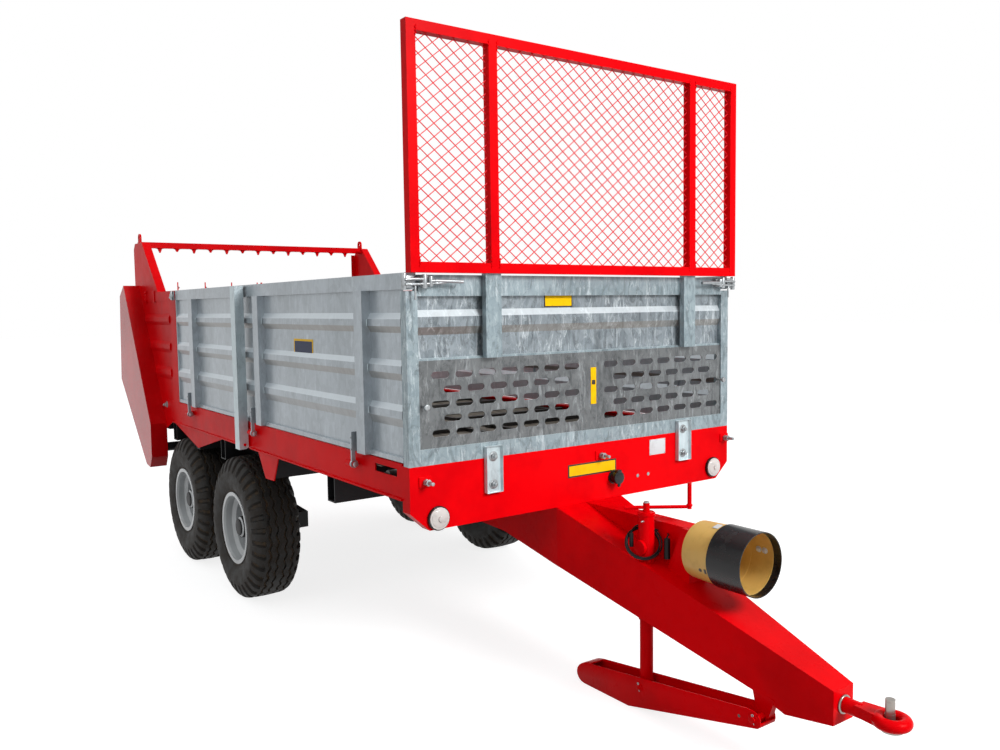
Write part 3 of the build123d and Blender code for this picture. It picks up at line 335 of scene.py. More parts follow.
@dataclass(frozen=True)
class TimberFinish(Finish):
    """Resin-faced floor board with long grain, grey with use."""

    dark: Screen

    def material(self) -> Material:
        """Build the material."""
        s = Sheet(self.name)
        grain = s.ramp(s.noise(30, 6, 0.65, (1, 0.06, 1), 0.6), 0.35, 0.7)
        s.bump((grain, 0.3, 0.0008))
        return s.finish(s.mix(grain, self.colour, self.dark), grain, 0.55, 0.8)


FINISHES: dict[str, Finish] = {
    "red": PaintFinish("red_paint", (232, 2, 10), (206, 0, 8), (226, 90, 84)),
    "red_bar": PaintFinish("red_paint_drawbar", (222, 0, 8), (196, 0, 6), (214, 70, 66), 0.05, 0.26),
    # The wire gets a paler pink copy of the red paint and a heavy pale speckle: painted glare on top of the paint's
    # dust.
    "red_wire_painted_glare": PaintFinish("red_paint_wire_painted_glare", (236, 36, 48), (220, 20, 34), (240, 120, 120), 0.3, 0.38, 0.0, 0.12),
    "cover": PaintFinish("red_paint_cover", (206, 4, 12), (184, 2, 8), (206, 90, 84), 0.12, 0.20, 0.10, 0.16),
    "black": PaintFinish("black_paint", (24, 24, 26), (12, 12, 14), (70, 66, 60), 0.20, 0.42, 0.0, 0.2),
    "rim": PaintFinish("silver_rim_paint", (196, 199, 200), (168, 171, 172), (120, 116, 110), 0.25, 0.30, 0.2, 0.5),
    "zinc": ZincFinish("galvanised_sheet", (164, 172, 178), (224, 234, 240), (118, 124, 128), 0.26),
    "zinc_front": ZincFinish("galvanised_front_sheet", (128, 138, 144), (236, 244, 248), (62, 68, 72), 0.62),
    "zinc_heavy": ZincFinish("galvanised_section", (194, 208, 212), (232, 242, 245), (136, 150, 156), 0.42, 34.0,
                             0.40, 0.34),
    "zinc_frame": ZincFinish("galvanised_frame", (138, 154, 160), (220, 230, 234), (76, 86, 90), 0.58, 34.0, 0.40,
                             0.34),
    "zinc_plate": ZincFinish("galvanised_plate", (104, 107, 108), (172, 177, 179), (54, 56, 58), 0.62, 20.0),
    "tyre": RubberFinish("tyre_rubber", (20, 19, 18), (92, 74, 54), 0.8),
    "yellow": PlasticFinish("ochre_guard_plastic", (212, 172, 94), (194, 154, 78), 0.32, 260.0, 0.3),
    "black_plastic": PlasticFinish("black_guard_plastic", (22, 21, 22), (36, 35, 36), 0.24, 380.0, 0.3),
    "cable": PlasticFinish("cable_sheath", (18, 18, 20), (38, 37, 37), 0.36, 500.0, 0.16),
    "sign_yellow": PlasticFinish("yellow_film", (240, 190, 6), (222, 168, 8), 0.3, 90.0, 0.1),
    "sign_black": PlasticFinish("dark_film", (36, 30, 18), (60, 50, 30), 0.3, 90.0),
    "sign_blue": PlasticFinish("blue_film", (26, 36, 70), (34, 44, 80), 0.3, 90.0, 0.1),
    "sign_white": PlasticFinish("pale_plate", (206, 208, 210), (186, 188, 190), 0.3, 90.0),
    "lens": PlasticFinish("white_lamp_lens", (204, 198, 194), (176, 170, 168), 0.14, 60.0, 0.4),
    "steel": SteelFinish("bare_steel", (150, 144, 138), (104, 88, 74)),
    "plated": SteelFinish("plated_fastener", (158, 162, 164), (96, 98, 98), 0.7, 0.34, 0.6),
    "dark_steel": SteelFinish("dark_steel", (70, 68, 66), (44, 38, 34), 0.7, 0.4, 0.5),
    "board": TimberFinish("floor_board", (120, 112, 100), (78, 72, 64)),
}
NODES_OF = {
    "black": ("axle_hangers", "rocker_axles", "cross_members", "gearbox"),
    "red": ("side_beams", "headstock", "conveyor_drive", "guard_frame", "rear_wall_left", "rear_wall_right",
            "rear_posts", "rear_top_beam", "beater_upper", "beater_lower"),
    "red_bar": ("drawbar", "towing_eye", "jack_tube", "jack_leg", "parking_foot"),
    "red_wire_painted_glare": ("guard_mesh_front", "guard_mesh_back"),
    "cover": ("chain_cover",),
    "board": ("load_floor",),
    "dark_steel": ("conveyor_left", "conveyor_right", "conveyor_shafts", "drive_shaft", "beater_bearings"),
    "steel": ("hitch_pin",),
    "yellow": ("shaft_guard_cone", "shaft_guard_plate"),
    "black_plastic": ("shaft_guard_ring", "lighting_socket"),
    "cable": ("light_cable_plugs", "light_cable_tails", "light_cable_coil"),
    "lens": ("front_lamps",),
    "zinc": ("side_board_left", "side_board_right"),
    "zinc_front": ("front_wall_sheet",),
    "zinc_frame": ("front_wall_frame",),
    "zinc_plate": ("front_grille",),
    "zinc_heavy": ("front_brackets", "side_post_left", "side_post_right"),
    "rim": ("rim_front_left", "rim_front_right", "rim_rear_left", "rim_rear_right"),
    "tyre": ("tyre_front_left", "tyre_front_right", "tyre_rear_left", "tyre_rear_right"),
}


class Paints(dict[str, Material]):
    """Hands out materials by the name of their finish."""

    def __missing__(self, name: str) -> Material:
        """Build a finish when it is first asked for."""
        self[name] = FINISHES[name].material()
        return self[name]


PAINTS = Paints()


def dress(nodes: dict[str, Piece]) -> None:
    """Give each CAD node its material, in every slot that it has."""
    finish_of = {name: finish for finish, names in NODES_OF.items() for name in names}
    for name, node in nodes.items():
        material = PAINTS[finish_of[name]]
        if not node.material_slots:
            node.data.materials.append(material)
        for slot in node.material_slots:
            slot.material = material
    LOG.info("dressed %d nodes", len(nodes))


# Modelling tools

class Axis(Enum):
    """Direction that a round part points in."""

    X = (0, math.radians(90), 0)
    Y = (math.radians(-90), 0, 0)
    Z = (0, 0, 0)


def clear() -> None:
    """Leave edit mode and select nothing."""
    if bpy.context.object is not None and bpy.context.object.mode != "OBJECT":
        bpy.ops.object.mode_set(mode="OBJECT")
    bpy.ops.object.select_all(action="DESELECT")


def only(piece: Piece) -> None:
    """Make a piece the only selected and the active one."""
    clear()
    piece.select_set(True)
    bpy.context.view_layer.objects.active = piece


def start(primitive: Callable[..., Any], **values: Any) -> Piece:
    """Add a mesh primitive by its operator and return it."""
    clear()
    primitive(**values)
    return bpy.context.object


def edit(piece: Piece, work: Callable[[bmesh.types.BMesh], None]) -> None:
    """Open a piece in edit mode and run a function that selects and calls operators."""
    only(piece)
    bpy.ops.object.mode_set(mode="EDIT")
    work(bmesh.from_edit_mesh(piece.data))
    bpy.ops.object.mode_set(mode="OBJECT")


def pick_faces(piece: Piece, mesh: bmesh.types.BMesh, wanted: Callable[[bmesh.types.BMFace], bool]) -> None:
    """Select only the faces of an open piece that pass a test."""
    bpy.ops.mesh.select_all(action="DESELECT")
    bpy.ops.mesh.select_mode(type="FACE")
    for face in mesh.faces:
        face.select = wanted(face)
    bmesh.update_edit_mesh(piece.data)


def bevel_edges(piece: Piece, width: float, segments: int = 2, sharper: float = 40.0) -> None:
    """Round the edges of a piece that turn by more than an angle in degrees."""
    def work(mesh: bmesh.types.BMesh) -> None:
        """Select the sharp edges and bevel them."""
        bpy.ops.mesh.select_all(action="DESELECT")
        bpy.ops.mesh.select_mode(type="EDGE")
        for edge in mesh.edges:
            edge.select = len(edge.link_faces) == 2 and edge.calc_face_angle(0) > math.radians(sharper)
        bmesh.update_edit_mesh(piece.data)
        bpy.ops.mesh.bevel(offset=width, segments=segments, affect="EDGES", clamp_overlap=True)
    only(piece)
    bpy.ops.object.transform_apply(location=False, rotation=False, scale=True)
    edit(piece, work)


def lathe(section: Sequence[Point], steps: int, centre: Point, axis: Point) -> Piece:
    """Spin a closed section all the way round.

    Args:
        section: Its corners.
        steps: Faces round the axis.
        centre: A point on the axis.
        axis: Direction of the axis.

    Returns:
        The turned part.
    """
    piece = start(bpy.ops.mesh.primitive_circle_add, vertices=len(section), radius=0.1)

    def work(mesh: bmesh.types.BMesh) -> None:
        """Shape the circle to the section and spin it."""
        mesh.verts.ensure_lookup_table()
        for vert, place in zip(mesh.verts, section):
            vert.co = place
        bpy.ops.mesh.select_all(action="SELECT")
        bpy.ops.mesh.spin(steps=steps, angle=math.tau, center=centre, axis=axis)
        bpy.ops.mesh.remove_doubles(threshold=0.00005)
        bpy.ops.mesh.normals_make_consistent(inside=False)
    edit(piece, work)
    return piece


def smooth_curve(name: str, points: Sequence[Vector], radius: float, sides: int, steps: int,
                 closed: bool = False) -> Piece:
    """Lay a round, smooth curve along points.

    Args:
        name: Name of the curve.
        points: Its control points, in the model's frame.
        radius: Radius of its section.
        sides: Bevel resolution of its section.
        steps: Steps from one point to the next.
        closed: Whether it is a ring.

    Returns:
        The curve.
    """
    clear()
    curve = bpy.data.curves.new(name, "CURVE")
    curve.dimensions = "3D"
    curve.bevel_depth = radius
    curve.bevel_resolution = sides
    spline = curve.splines.new("NURBS")
    spline.points.add(len(points) - 1)
    for point, place in zip(spline.points, points):
        point.co = (*place, 1)
    spline.use_cyclic_u = closed
    spline.order_u = 3
    spline.use_endpoint_u = not closed
    spline.resolution_u = steps
    piece = bpy.data.objects.new(name, curve)
    bpy.context.scene.collection.objects.link(piece)
    return piece


def join(pieces: Sequence[Piece], name: str) -> Piece:
    """Join pieces into one, which keeps their finishes."""
    only(pieces[0])
    for piece in pieces:
        piece.select_set(True)
    if len(pieces) > 1:
        bpy.ops.object.join()
    whole = bpy.context.view_layer.objects.active
    whole.name = whole.data.name = name
    return whole


def scatter(master: Piece, places: Iterable[Matrix], name: str) -> Piece:
    """Copy a piece to many places, each copy with its own mesh, and join them.

    Args:
        master: Piece modelled about the origin; it is removed.
        places: Transform of each copy.
        name: Name of the joined piece.

    Returns:
        The joined piece.
    """
    copies = []
    for matrix in places:
        copy = master.copy()
        copy.data = master.data.copy()
        copy.data.transform(matrix)
        bpy.context.scene.collection.objects.link(copy)
        copies.append(copy)
    bpy.data.objects.remove(master)
    return join(copies, name)


def facing(place: Sequence[float], direction: Sequence[float], turn: float = 0.0) -> Matrix:
    """Return the transform that stands a master on a place, pointing in a direction and turned by degrees."""
    aim = Vector(direction).normalized().to_track_quat("Z", "Y").to_matrix().to_4x4()
    return Matrix.Translation(in_model(place)) @ aim @ turned(turn, "Z")


def ride(piece: Piece, body: str) -> Piece:
    """Let a piece move with a body."""
    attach(piece, body)
    LOG.info("built %s on %s", piece.name, body)
    return piece


class Kit:
    """Gathers the parts of one piece."""

    def __init__(self, finish: str, side: int = 1, origin_y: float = FRONT_WALL_Y) -> None:
        """Start without parts.

        Args:
            finish: Finish of the parts, unless they name another.
            side: Sign that every X is multiplied by.
            origin_y: Model's Y that places are counted from.
        """
        self.finish = finish
        self.side = side
        self.origin_y = origin_y
        self.parts: list[Piece] = []

    @classmethod
    def for_master(cls, finish: str) -> "Kit":
        """Return a kit whose parts are modelled about the origin, to be copied."""
        return cls(finish, origin_y=0.0)

    def place(self, point: Sequence[float]) -> Vector:
        x, y, z = point
        return Vector((self.side * x, y + self.origin_y, z))

    def add(self, piece: Piece, finish: str = "", angle: float = 35.0) -> "Kit":
        """Put a part's place into its mesh, shade it and give it its finish.

        Args:
            piece: The part.
            angle: Edges sharper than this stay sharp, in degrees.
        """
        only(piece)
        bpy.ops.object.transform_apply(location=True, rotation=True, scale=True)
        bpy.ops.object.shade_smooth_by_angle(angle=math.radians(angle))
        piece.data.materials.clear()
        piece.data.materials.append(PAINTS[finish or self.finish])
        self.parts.append(piece)
        return self

    def box(self, x: Span, y: Span, z: Span, bevel: float = 0.001, finish: str = "") -> "Kit":
        """Add a box with rounded edges between two corners."""
        middle = [(a + b) / 2 for a, b in (x, y, z)]
        size = [abs(b - a) for a, b in (x, y, z)]
        piece = start(bpy.ops.mesh.primitive_cube_add, size=1, location=self.place(middle))
        piece.scale = size
        if bevel > 0:
            bevel_edges(piece, min(bevel, min(size) * 0.45))
        return self.add(piece, finish)

    def rod(self, radius: float, place: Point, length: float, axis: Axis = Axis.Y, bevel: float = 0.001,
            sides: int = 24, turn: float = 0.0, finish: str = "") -> "Kit":
        """Add a round or many-sided bar about its middle.

        Args:
            radius: Radius.
            place: Its middle.
            length: Length along its axis.
            axis: Direction.
            bevel: Radius of the end edges.
            sides: Faces round it.
            turn: Turn about its own axis, in degrees.
        """
        piece = start(bpy.ops.mesh.primitive_cylinder_add, vertices=sides, radius=radius, depth=length)
        if bevel > 0:
            bevel_edges(piece, bevel, 2, 60)
        aim = Euler(axis.value).to_matrix().to_4x4()
        piece.matrix_world = Matrix.Translation(self.place(place)) @ aim @ turned(turn, "Z")
        return self.add(piece, finish)

    def wire(self, points: Sequence[Point], radius: float, sides: int = 2, closed: bool = False) -> "Kit":
        """Add a bar or bead that follows points on a smooth curve."""
        piece = smooth_curve("wire", [self.place(point) for point in points], radius, sides, 6, closed)
        piece.data.use_fill_caps = not closed
        only(piece)
        bpy.ops.object.convert(target="MESH")
        return self.add(bpy.context.object, angle=60)

    def mount(self, name: str, slot: str = "galvanised", body: str = "chassis") -> Piece:
        """Join the parts under a name and let the piece ride on a body."""
        return ride(join(self.parts, name), body)


@dataclass(frozen=True)
class Bolt:
    """A hexagon head with its washer and what stands out of it, modelled once and copied."""

    across: float
    stub: float = 0.0
    finish: str = "plated"
    washer: float = 0.0024

    def model(self) -> Piece:
        """Return the bolt, which stands on the origin and points along plus Z."""
        kit = Kit.for_master(self.finish)
        if self.washer > 0:
            kit.rod(self.across * 0.78, (0, 0, self.washer / 2), self.washer, Axis.Z, 0.0005, 20)
        head = self.across * 0.36
        hexagon = start(bpy.ops.mesh.primitive_cylinder_add, vertices=6, radius=self.across / 2, depth=head,
                        location=(0, 0, self.washer + head / 2))

        def crown(mesh: bmesh.types.BMesh) -> None:
            """Inset the top face and lift it."""
            pick_faces(hexagon, mesh, lambda face: face.normal.z > 0.9)
            bpy.ops.mesh.inset(thickness=self.across * 0.07)
            bpy.ops.transform.translate(value=(0, 0, head * 0.16))
        edit(hexagon, crown)
        kit.add(hexagon)
        if self.stub > 0:
            kit.rod(self.across * 0.27, (0, 0, self.washer + head + self.stub / 2), self.stub, Axis.Z, 0.0008, 12)
        return join(kit.parts, "bolt")

    def mount(self, name: str, places: Iterable[Matrix], slot: str = "galvanised", body: str = "chassis") -> Piece:
        """Copy the bolt to its places as one piece that rides on a body."""
        return ride(scatter(self.model(), places, name), body)


@dataclass
class Wheel:
    """Place of one wheel."""

    place: str
    side: str
    sign: int
    axle_y: float
    radius: float = 0.4225
    middle_x: float = 0.858

    @property
    def tag(self) -> str:
        """Return the wheel's name without its kind."""
        return f"{self.place}_{self.side}"


@dataclass
class Tyre(Wheel):
    """One implement tyre with waved ribs, shoulder lugs and a plain side.

    The section gives distance from the middle plane and depth below the tread.
    """

    waves: int = 34
    steps_per_wave: int = 8
    wave_depth: float = 0.0062
    rib_band: Span = (0.012, 0.0755)
    rib_depth: float = 0.0165
    lug_start: float = 0.0925
    lug_reach: float = 0.080
    lug_gap: float = -0.35
    lug_depth: float = 0.017
    lug_step: float = 0.0085
    fade_start: float = 0.084
    fade_width: float = 0.010
    fade_reach: float = 0.086
    fade_drop: float = 0.03
    section: tuple[Span, ...] = (
        (0.000, 0.0005), (0.0165, 0.0005), (0.0185, 0.002), (0.0195, 0.013), (0.0285, 0.013), (0.0295, 0.002),
        (0.0315, 0.001), (0.0565, 0.002), (0.0585, 0.004), (0.0600, 0.015), (0.0710, 0.015), (0.0725, 0.005),
        (0.0750, 0.003), (0.088, 0.004), (0.094, 0.005), (0.104, 0.009), (0.113, 0.017), (0.121, 0.029),
        (0.129, 0.045), (0.137, 0.066), (0.142, 0.088), (0.145, 0.112), (0.142, 0.1475), (0.136, 0.1725),
        (0.131, 0.1905), (0.123, 0.1990), (0.121, 0.2085), (0.118, 0.2240), (0.1165, 0.2270))

    def build(self) -> None:
        """Spin the section, wave the ribs and cut the shoulders into lugs."""
        half = [(width, 0, self.radius - depth) for width, depth in self.section]
        loop = half + [(-width, 0, r) for width, _, r in reversed(half[1:])]
        piece = lathe(loop, self.waves * self.steps_per_wave, (0, 0, 0), (1, 0, 0))
        for vert in piece.data.vertices:
            vert.co = self.patterned(*vert.co)
        tread = join(Kit("tyre").add(piece, angle=26).parts, f"tyre_tread_{self.tag}")
        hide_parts(f"tyre_{self.tag}")
        ride(tread, f"wheel_{self.tag}")

    def patterned(self, x: float, y: float, z: float) -> Point:
        """Return where a point of the plain tyre goes, on its own axle."""
        r = math.hypot(y, z)
        angle = math.atan2(y, z)
        wave = math.sin(angle * self.waves)
        width = abs(x)
        depth = self.radius - r
        side = 1 if x >= 0 else -1
        if depth < self.rib_depth and self.rib_band[0] < width < self.rib_band[1]:
            x += self.wave_depth * wave
        if width >= self.lug_start and depth < self.lug_reach and side * wave <= self.lug_gap:
            fade = (min(1.0, (width - self.fade_start) / self.fade_width)
                    * min(1.0, max(0.0, (self.fade_reach - depth) / self.fade_drop)))
            r -= self.lug_depth * fade
            x = side * (abs(x) - self.lug_step * fade)
        return (x + self.sign * self.middle_x, r * math.sin(angle) + at_wall(self.axle_y),
                r * math.cos(angle) + self.radius)


@dataclass
class WheelFittings(Wheel):
    """Wheel nuts, hub cap and valve of one wheel."""

    nut_ring: float = 0.0860
    valve_ring: float = 0.146
    valve_degrees: float = 205.0

    def build(self) -> None:
        """Build the nuts, the cap and the valve."""
        body = f"wheel_{self.tag}"
        y, z = self.axle_y, self.radius
        nuts = []
        for i in range(6):
            a = math.tau * i / 6
            place = (self.sign * (self.middle_x + 0.006), y + self.nut_ring * math.sin(a),
                     z + self.nut_ring * math.cos(a))
            nuts.append(facing(place, (self.sign, 0, 0), 20 * i))
        Bolt(0.030, 0.008, "dark_steel").mount(f"wheel_nuts_{self.tag}", nuts, "bare_steel", body)
        cap = Kit("black", self.sign)
        cap.rod(0.0635, (self.middle_x + 0.049, y, z), 0.082, Axis.X, 0.002, 40)
        cap.rod(0.049, (self.middle_x + 0.096, y, z), 0.018, Axis.X, 0.005, 40)
        cap.mount(f"hub_cap_{self.tag}", "black_paint", body)
        a = math.radians(self.valve_degrees)
        x = self.middle_x - 0.022
        y += self.valve_ring * math.sin(a)
        z += self.valve_ring * math.cos(a)
        stem = Kit("cable", self.sign).wire([(x, y, z), (x + 0.040, y, z), (x + 0.070, y - 0.006, z + 0.003)],
                                            0.0042, 3)
        stem.mount(f"valve_{self.tag}", "black_plastic", body)


@dataclass
class Headstock:
    """Lamps, socket, brackets, bolts and bare plates on the beam across the front."""

    lamps: tuple[Span, ...] = ((-0.831, 0.848), (0.840, 0.865))
    bolts: tuple[Span, ...] = ((-0.889, 1.005), (0.063, 1.011), (0.930, 1.009))
    brackets: tuple[tuple[float, float, float, float], ...] = (
        (-0.596, -0.512, 0.920, 1.120), (0.569, 0.660, 0.928, 1.130))
    socket: Span = (0.144, 0.897)
    plugs: tuple[float, ...] = (0.306, 0.377)

    def build(self) -> None:
        """Build everything that stands on the beam's front face."""
        self.build_lamps()
        self.build_brackets()
        self.build_bolts()
        self.build_socket()
        self.build_plates()

    def build_lamps(self) -> None:
        """Build the two round lamps: base, rim, domed lens with rings, and boss."""
        kit = Kit("lens")
        for x, z in self.lamps:
            kit.rod(0.051, (x, -0.0065, z), 0.013, Axis.Y, 0.002, 40, finish="black_plastic")
            kit.rod(0.046, (x, -0.0145, z), 0.007, Axis.Y, 0.002, 40)
            dome = start(bpy.ops.mesh.primitive_uv_sphere_add, segments=36, ring_count=18, radius=0.041,
                         location=kit.place((x, -0.015, z)))
            dome.scale = (1, 0.26, 1)
            bpy.ops.object.transform_apply(location=True, rotation=False, scale=True)
            for vert in dome.data.vertices:
                vert.co.y -= 0.0008 * math.sin(900 * math.hypot(vert.co.x - x, vert.co.z - z))
            kit.add(dome)
            kit.rod(0.013, (x, -0.0265, z), 0.010, bevel=0.003)
        pair = join(kit.parts, "front_lamp_pair")
        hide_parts("front_lamps")
        ride(pair, "chassis")

    def build_brackets(self) -> None:
        """Build the two folded brackets with their bolts."""
        kit = Kit("zinc_heavy")
        heads = []
        for i, (x0, x1, z0, z1) in enumerate(self.brackets):
            x = (x0 + x1) / 2
            channel = start(bpy.ops.mesh.primitive_cube_add, size=1, location=kit.place((x, -0.012, (z0 + z1) / 2)))
            channel.scale = (x1 - x0, 0.024, z1 - z0)
            bpy.ops.object.transform_apply(location=False, rotation=False, scale=True)
            inner = (z1 - z0) / 2 - 0.006

            def fold(mesh: bmesh.types.BMesh) -> None:
                """Sink the middle of the front face between two flanges and open its ends."""
                pick_faces(channel, mesh, lambda face: face.normal.y < -0.9)
                bpy.ops.mesh.inset(thickness=0.006)
                bpy.ops.transform.translate(value=(0, 0.017, 0))
                for vert in mesh.verts:
                    if vert.co.y > -0.002 and abs(abs(vert.co.z) - inner) < 0.002:
                        vert.co.z *= 1.06
            edit(channel, fold)
            bevel_edges(channel, 0.0012, 1, 50)
            kit.add(channel)
            heads += [facing((x, -0.007, z), (0, -1, 0), 13 * i) for z in (z0 + 0.035, z1 - 0.045)]
        pair = join(kit.parts, "front_bracket_pair")
        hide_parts("front_brackets")
        ride(pair, "chassis")
        Bolt(0.028, 0.012).mount("front_bracket_bolts", heads)

    def build_bolts(self) -> None:
        """Build the chain tensioning bolts: red plate, two nuts and a thread."""
        plates, threads, plugs = Kit("red"), Kit("plated"), Kit("plated")
        for x, z in self.bolts:
            plates.box((x - 0.03, x + 0.03), (-0.006, 0), (z - 0.022, z + 0.022), 0.002)
            threads.rod(0.0075, (x, -0.035, z), 0.062, sides=14)
            threads.rod(0.0145, (x, -0.014, z), 0.013, sides=6)
            threads.rod(0.0145, (x, -0.029, z), 0.010, sides=6, turn=17)
        for x in self.plugs:
            plugs.rod(0.0085, (x, -0.001, 0.884), 0.002, bevel=0.0006, sides=20)
        plugs.mount("headstock_plugs")
        plates.mount("tension_plates", "red_paint")
        threads.mount("tension_bolts")

    def build_socket(self) -> None:
        """Build the lighting socket with its hinged cap."""
        x, z = self.socket
        kit = Kit("black_plastic")
        kit.rod(0.031, (x, -0.004, z), 0.008, Axis.Y, 0.002, 32)
        kit.rod(0.027, (x, -0.022, z), 0.034, Axis.Y, 0.003, 32)
        kit.rod(0.031, (x, -0.042, z + 0.002), 0.010, Axis.Y, 0.003, 32)
        kit.box((x - 0.014, x + 0.014), (-0.048, -0.026), (z + 0.026, z + 0.040), 0.003)
        kit.box((x - 0.008, x + 0.008), (-0.047, -0.038), (z - 0.040, z - 0.026), 0.003)
        socket = join(kit.parts, "lighting_socket_detail")
        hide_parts("lighting_socket")
        ride(socket, "chassis")

    def build_plates(self) -> None:
        """Build the bare yellow film and the bare type plate."""
        film = Kit("sign_yellow")
        film.box((-0.133, 0.164), (-0.0012, 0), (0.925, 0.985), 0, "sign_black")
        film.box((-0.126, 0.157), (-0.0018, -0.0012), (0.932, 0.978), 0)
        film.mount("front_film", "yellow_plastic")
        plate = Kit("plated").box((0.387, 0.495), (-0.0016, 0), (0.974, 1.050), 0.0005, "sign_white")
        for x in (0.392, 0.490):
            for z in (0.979, 1.045):
                plate.rod(0.0024, (x, -0.002, z), 0.002, bevel=0.0006, sides=10)
        plate.mount("type_plate")


@dataclass
class FrontWall:
    """Knobs, bare films and corner latches of the front wall."""

    knobs: tuple[Span, ...] = ((-0.891, 1.312), (0.891, 1.318))

    def build(self) -> None:
        """Build everything on the wall."""
        knobs = Kit("plated")
        for x, z in self.knobs:
            knobs.rod(0.006, (x, -0.015, z), 0.030, sides=14)
            knobs.rod(0.013, (x, -0.031, z), 0.014, bevel=0.004)
        knobs.mount("grille_knobs")
        film = Kit("sign_yellow")
        film.box((-0.243, -0.081), (0.0225, 0.024), (1.706, 1.764), 0, "sign_black")
        film.box((-0.238, -0.086), (0.0220, 0.0226), (1.711, 1.759), 0)
        film.mount("wall_film", "yellow_plastic")
        strip = Kit("sign_yellow").box((0.012, 0.045), (0.0035, 0.005), (1.255, 1.425), 0)
        strip.box((0.018, 0.039), (0.0030, 0.0036), (1.345, 1.366), 0, "sign_black")
        strip.mount("wall_strip", "yellow_plastic")
        for tag, sign in SIDES:
            self.build_latch(tag, sign)

    def build_latch(self, tag: str, sign: int) -> None:
        """Build the spring latch that ties the front wall to a side board."""
        kit = Kit("plated", sign)
        kit.rod(0.011, (0.976, -0.016, 1.815), 0.066, Axis.Z, 0.002, 20)
        kit.box((0.930, 0.972), (-0.020, -0.006), (1.790, 1.840), 0.003)
        kit.rod(0.0045, (0.930, -0.026, 1.772), 0.060, Axis.Z, 0.001, 14)
        kit.rod(0.012, (0.888, -0.026, 1.815), 0.056, Axis.Z, 0.003, 20)
        kit.rod(0.009, (0.862, -0.032, 1.815), 0.042, Axis.Z, 0.002, 18)
        kit.box((0.850, 0.900), (-0.016, 0.0), (1.795, 1.835), 0.002)
        for radius, points in (
                (0.0065, ((0.976, -0.028, 1.822), (0.930, -0.032, 1.826), (0.888, -0.030, 1.824))),
                (0.0055, ((0.976, -0.028, 1.804), (0.930, -0.032, 1.803), (0.888, -0.030, 1.806))),
                (0.0075, ((0.862, -0.034, 1.817), (0.800, -0.038, 1.818), (0.715, -0.042, 1.814))),
                (0.0050, ((0.888, -0.030, 1.806), (0.840, -0.036, 1.806), (0.790, -0.036, 1.812)))):
            kit.wire(points, radius, 3)
        kit.mount(f"corner_latch_{tag}")


@dataclass
class SideBoards:
    """Hinge bolts, weld nubs, bolts of the middle post and the bare blue plate."""

    ridges: tuple[float, ...] = (1.2775, 1.461, 1.6515)
    stiffeners: tuple[float, ...] = (0.375, 1.604, 2.778)
    hooks: tuple[float, ...] = (0.458, 1.696, 2.870)
    beam_bolts: tuple[Span, ...] = ((1.985, 0.946), (1.925, 0.951))

    def build(self) -> None:
        """Build the fittings of both sides."""
        for tag, sign in SIDES:
            self.build_side(tag, sign)
        plate = Kit("sign_yellow").box((-0.9462, -0.9450), (0.937, 1.170), (1.487, 1.565), 0)
        plate.box((-0.9468, -0.9461), (0.948, 1.159), (1.498, 1.554), 0, "sign_blue")
        plate.mount("side_plate", "galvanised", "side_board_right")

    def build_side(self, tag: str, sign: int) -> None:
        """Build the fittings of one side."""
        out = (sign, 0, 0)
        board = f"side_board_{tag}"
        nubs, caps = Kit("zinc_heavy", sign), Kit("plated", sign)
        for middle in self.stiffeners:
            for z in self.ridges:
                for y in (middle - 0.0405, middle + 0.0405):
                    nubs.wire([(0.9625, y, z - 0.014), (0.9640, y, z), (0.9625, y, z + 0.014)], 0.0022, 1)
        nubs.mount(f"board_welds_{tag}", "galvanised", board)
        heads = [facing((sign * 0.9972, y - 0.011, z), out, 17) for y in self.hooks for z in (1.095, 1.147)]
        Bolt(0.008, washer=0.0).mount(f"hook_bolts_{tag}", heads, "galvanised", board)
        for y in self.hooks:
            caps.rod(0.0125, (0.985, y - 0.029, 1.030), 0.006, bevel=0.0015, sides=20)
        caps.mount(f"hinge_caps_{tag}")
        heads = [facing((sign * 0.960, y, z), out, 23) for y, z in self.beam_bolts]
        Bolt(0.024, 0.008).mount(f"beam_bolts_{tag}", heads)


@dataclass
class Guard:
    """Weld beads at the joints of the mesh guard."""

    joints_x: tuple[float, ...] = (-0.918, -0.574, -0.532, 0.619, 0.661, 0.918)
    joints_z: Span = (1.892, 2.778)

    def build(self) -> None:
        """Build the beads."""
        beads = Kit("red")
        for x in self.joints_x:
            for z in self.joints_z:
                beads.wire([(x - 0.004 * math.sin(i * 2.2), -0.0465, z + (i - 4) * 0.005) for i in range(9)],
                           0.0026, 1)
        beads.mount("guard_welds", "red_paint")


@dataclass
class Drawbar:
    """Weld bead of the eye and small fittings of the jack."""

    jack: Span = (-0.094, -0.460)

    def build(self) -> None:
        """Build the fittings of the drawbar's eye and of its jack."""
        bead = [(0.030 * math.cos(math.tau * i / 20), -1.329, 0.312 + 0.030 * math.sin(math.tau * i / 20))
                for i in range(20)]
        Kit("steel").wire(bead, 0.005, closed=True).mount("eye_weld", "red_paint")
        x, y = self.jack
        fittings = Kit("plated").rod(0.0125, (x + 0.146, y - 0.105, 0.874), 0.010, Axis.Z, 0.002, 20, finish="red_bar")
        fittings.rod(0.011, (x, y, 0.889), 0.008, Axis.Z, 0.002, 20)
        fittings.rod(0.004, (x - 0.034, y - 0.012, 0.815), 0.012, Axis.X, 0.001, 12)
        fittings.mount("jack_fittings", "red_paint")


